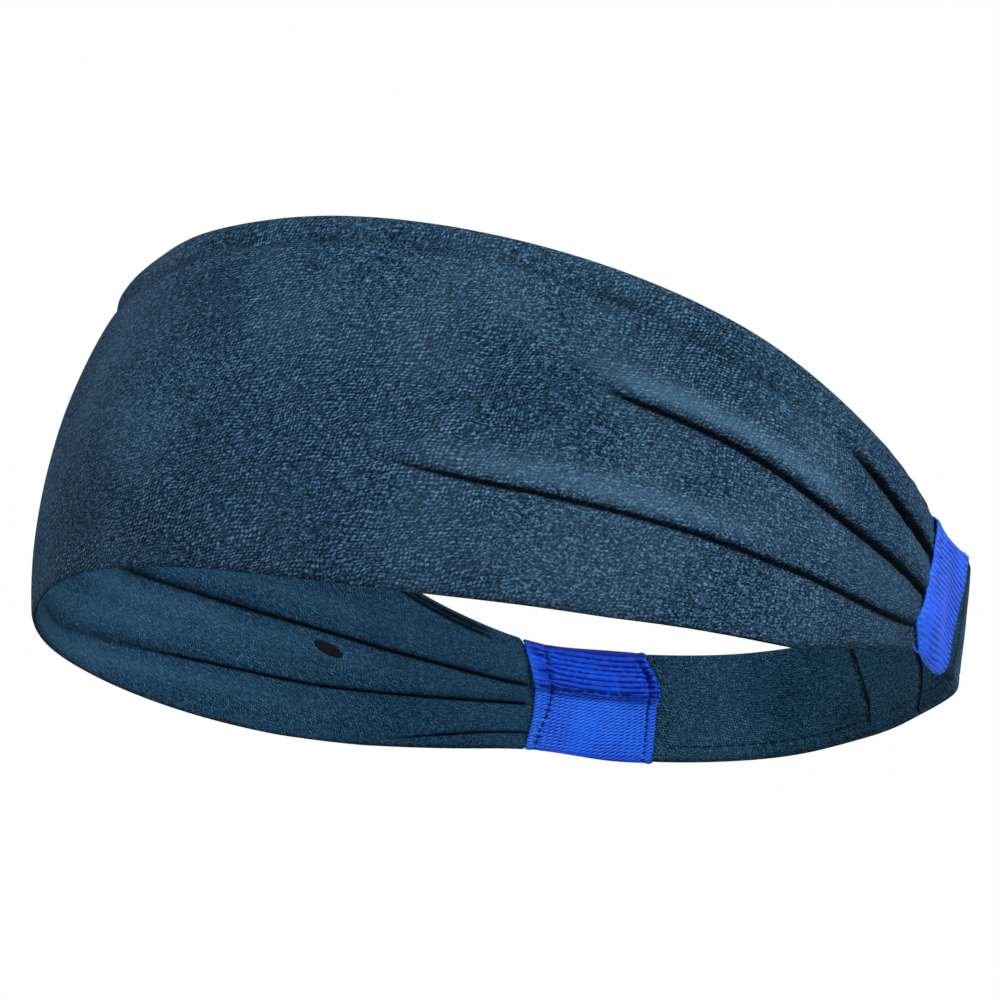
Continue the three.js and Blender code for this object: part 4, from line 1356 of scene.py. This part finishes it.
knit_outer = knit_material(
    "knit_outer", dark=srgb(2, 10, 21), mid=srgb(27, 51, 71), light=srgb(94, 134, 164),
    seed=1.0, contrast=0.88,
)
knit_inner = knit_material(
    "knit_inner", dark=srgb(3, 16, 27), mid=srgb(22, 55, 79), light=srgb(78, 126, 158),
    seed=7.0, contrast=0.8, grain=0.8, fine=0.85,
)
# the strap's knit is painted a little lighter than the inner knit, to stand in for light that
# falls off across the strap
knit_strap = knit_material(
    "knit_strap", dark=srgb(4, 16, 27), mid=srgb(25, 61, 84), light=srgb(84, 134, 162),
    seed=13.0, contrast=0.85, grain=0.85, fine=0.82,
)
ribbon_blue = ribbon_material("grosgrain_blue")
thread_navy = thread_material("thread_navy", srgb(3, 11, 19), srgb(13, 32, 48))
thread_blue = thread_material("thread_blue", srgb(3, 8, 48), srgb(12, 28, 100))
elastic_dark = elastic_material("elastic_dark")
mark_dark = mark_material("mark_dark")


# ------------------------------------------------------------------ the pieces
def dress(ob, material, replaced=None, on_strap=False):
    ob.data.materials.append(material)
    if replaced:
        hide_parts(replaced)
    if on_strap:
        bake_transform(ob)
    else:
        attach(ob, "front_band")


def build_side(side, tab, right):
    """A tab's ribbon and its three stitch rows."""
    ribbon = build_tab(f"{side}_tab_ribbon", tab, right)
    dress(ribbon, ribbon_blue, f"{side}_tab")
    for key, column, seed in (("panel", 0, 3), ("strap", 1, 5)):
        row = build_tab_column(f"{side}_tab_{key}_thread", tab, right, column, seed + right)
        dress(row, thread_blue, f"{side}_tab_{key}_stitch")
    row = build_tab_overlap(f"{side}_tab_overlap_thread", tab, right)
    dress(row, thread_blue, f"{side}_tab_overlap_stitch")


dress(build_outer_panel(), knit_outer, "outer_panel")
dress(build_inner_panel(), knit_inner, "inner_panel")
dress(build_mark(), mark_dark, "inner_mark")
build_side("left", LEFT_TAB, right=False)
build_side("right", RIGHT_TAB, right=True)
for face in ("outer", "inner"):
    casing = build_strap(f"strap_{face}_cloth", outer=face == "outer")
    dress(casing, knit_strap, f"strap_casing_{face}", on_strap=True)
dress(build_elastic(), elastic_dark, "elastic_core", on_strap=True)
dress(build_casing_seam(), thread_navy, "strap_casing_seam", on_strap=True)
dress(build_cross_seam(), thread_navy, "strap_cross_seam", on_strap=True)
for side, tab in (("left", LEFT_TAB), ("right", RIGHT_TAB)):
    dress(build_gather(side, tab), thread_navy, f"{side}_gather_stitch")
# the CAD's own edge seams stay, in navy
for name in ("top_edge_seam", "bottom_edge_seam"):
    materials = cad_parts[name].data.materials
    materials.clear()
    materials.append(thread_navy)


# ------------------------------------------------------------------ studio, in metres
def build_world():
    """Soft light on the object, and plain white to the camera."""
    world = bpy.data.worlds.new("studio")
    bpy.context.scene.world = world
    graph = Graph(world, "ShaderNodeOutputWorld")
    seen = graph.value("ShaderNodeLightPath", output="Is Camera Ray")
    light = graph.value(
        "ShaderNodeBackground", {"Color": (0.97, 0.99, 1.0, 1), "Strength": 0.45}
    )
    white = graph.value("ShaderNodeBackground", {"Color": (1, 1, 1, 1), "Strength": 1.0})
    graph.surface(graph.value("ShaderNodeMixShader", {0: seen, 1: light, 2: white}))


def floor_material():
    """Pale from above and clear from below."""
    graph = new_graph("floor_pale")
    geometry = graph.node("ShaderNodeNewGeometry")
    position = Value(graph, geometry.outputs["Position"])
    backfacing = Value(graph, geometry.outputs["Backfacing"])
    # far from the object the floor fades into the white of the studio, as a backdrop does
    reach = graph.value("ShaderNodeVectorMath", {0: position}, "Value", operation="LENGTH")
    seen = graph.value("ShaderNodeLightPath", output="Is Camera Ray")
    fade = reach.ramp(0.16, 0.75) * seen
    pale = graph.value("ShaderNodeBsdfDiffuse", {"Color": (0.86, 0.87, 0.88, 1)})
    glow = graph.value("ShaderNodeEmission")
    top = graph.value("ShaderNodeMixShader", {0: fade, 1: pale, 2: glow})
    clear = graph.value("ShaderNodeBsdfTransparent")
    return graph.surface(
        graph.value("ShaderNodeMixShader", {0: backfacing, 1: top, 2: clear})
    )


def build_floor():
    half, z = 4.0, -0.0002
    mesh = bpy.data.meshes.new("floor")
    corners = [(-half, -half, z), (half, -half, z), (half, half, z), (-half, half, z)]
    mesh.from_pydata(corners, [], [(0, 1, 2, 3)])
    floor = bpy.data.objects.new("floor", mesh)
    bpy.context.scene.collection.objects.link(floor)
    mesh.materials.append(floor_material())


def area_light(name, at, size, energy):
    """A round light aimed at the headband."""
    target = Vector((0, 0, 0.03))
    data = bpy.data.lights.new(name, "AREA")
    data.shape, data.size, data.energy = "DISK", size, energy
    ob = bpy.data.objects.new(name, data)
    ob.location = at
    ob.rotation_mode = "QUATERNION"
    ob.rotation_quaternion = (target - Vector(at)).to_track_quat("-Z", "Y")
    bpy.context.scene.collection.objects.link(ob)


def build_camera():
    data = bpy.data.cameras.new("camera")
    data.sensor_width = 36.0
    data.lens = 123.332652
    data.clip_start, data.clip_end = 0.02, 20
    camera = bpy.data.objects.new("camera", data)
    right = Vector((0.5568342, 0.8279920, 0.0660670))
    up = Vector((0.1412881, -0.1727966, 0.9747714))
    pose = Matrix((right, up, right.cross(up))).transposed().to_4x4()
    pose.translation = (0.5528836, -0.3608278, -0.105571)
    camera.matrix_world = pose
    bpy.context.scene.collection.objects.link(camera)
    bpy.context.scene.camera = camera


build_world()
build_floor()
area_light("key", at=(0.95, -0.1, 0.85), size=0.6, energy=15.0)
area_light("fill", at=(-0.35, -1.05, 0.45), size=0.9, energy=3.6)
area_light("rim", at=(0.2, 1.0, 0.7), size=0.8, energy=4.0)
build_camera()
bpy.context.scene.view_settings.view_transform = "Standard"
bpy.context.scene.view_settings.look = "None"
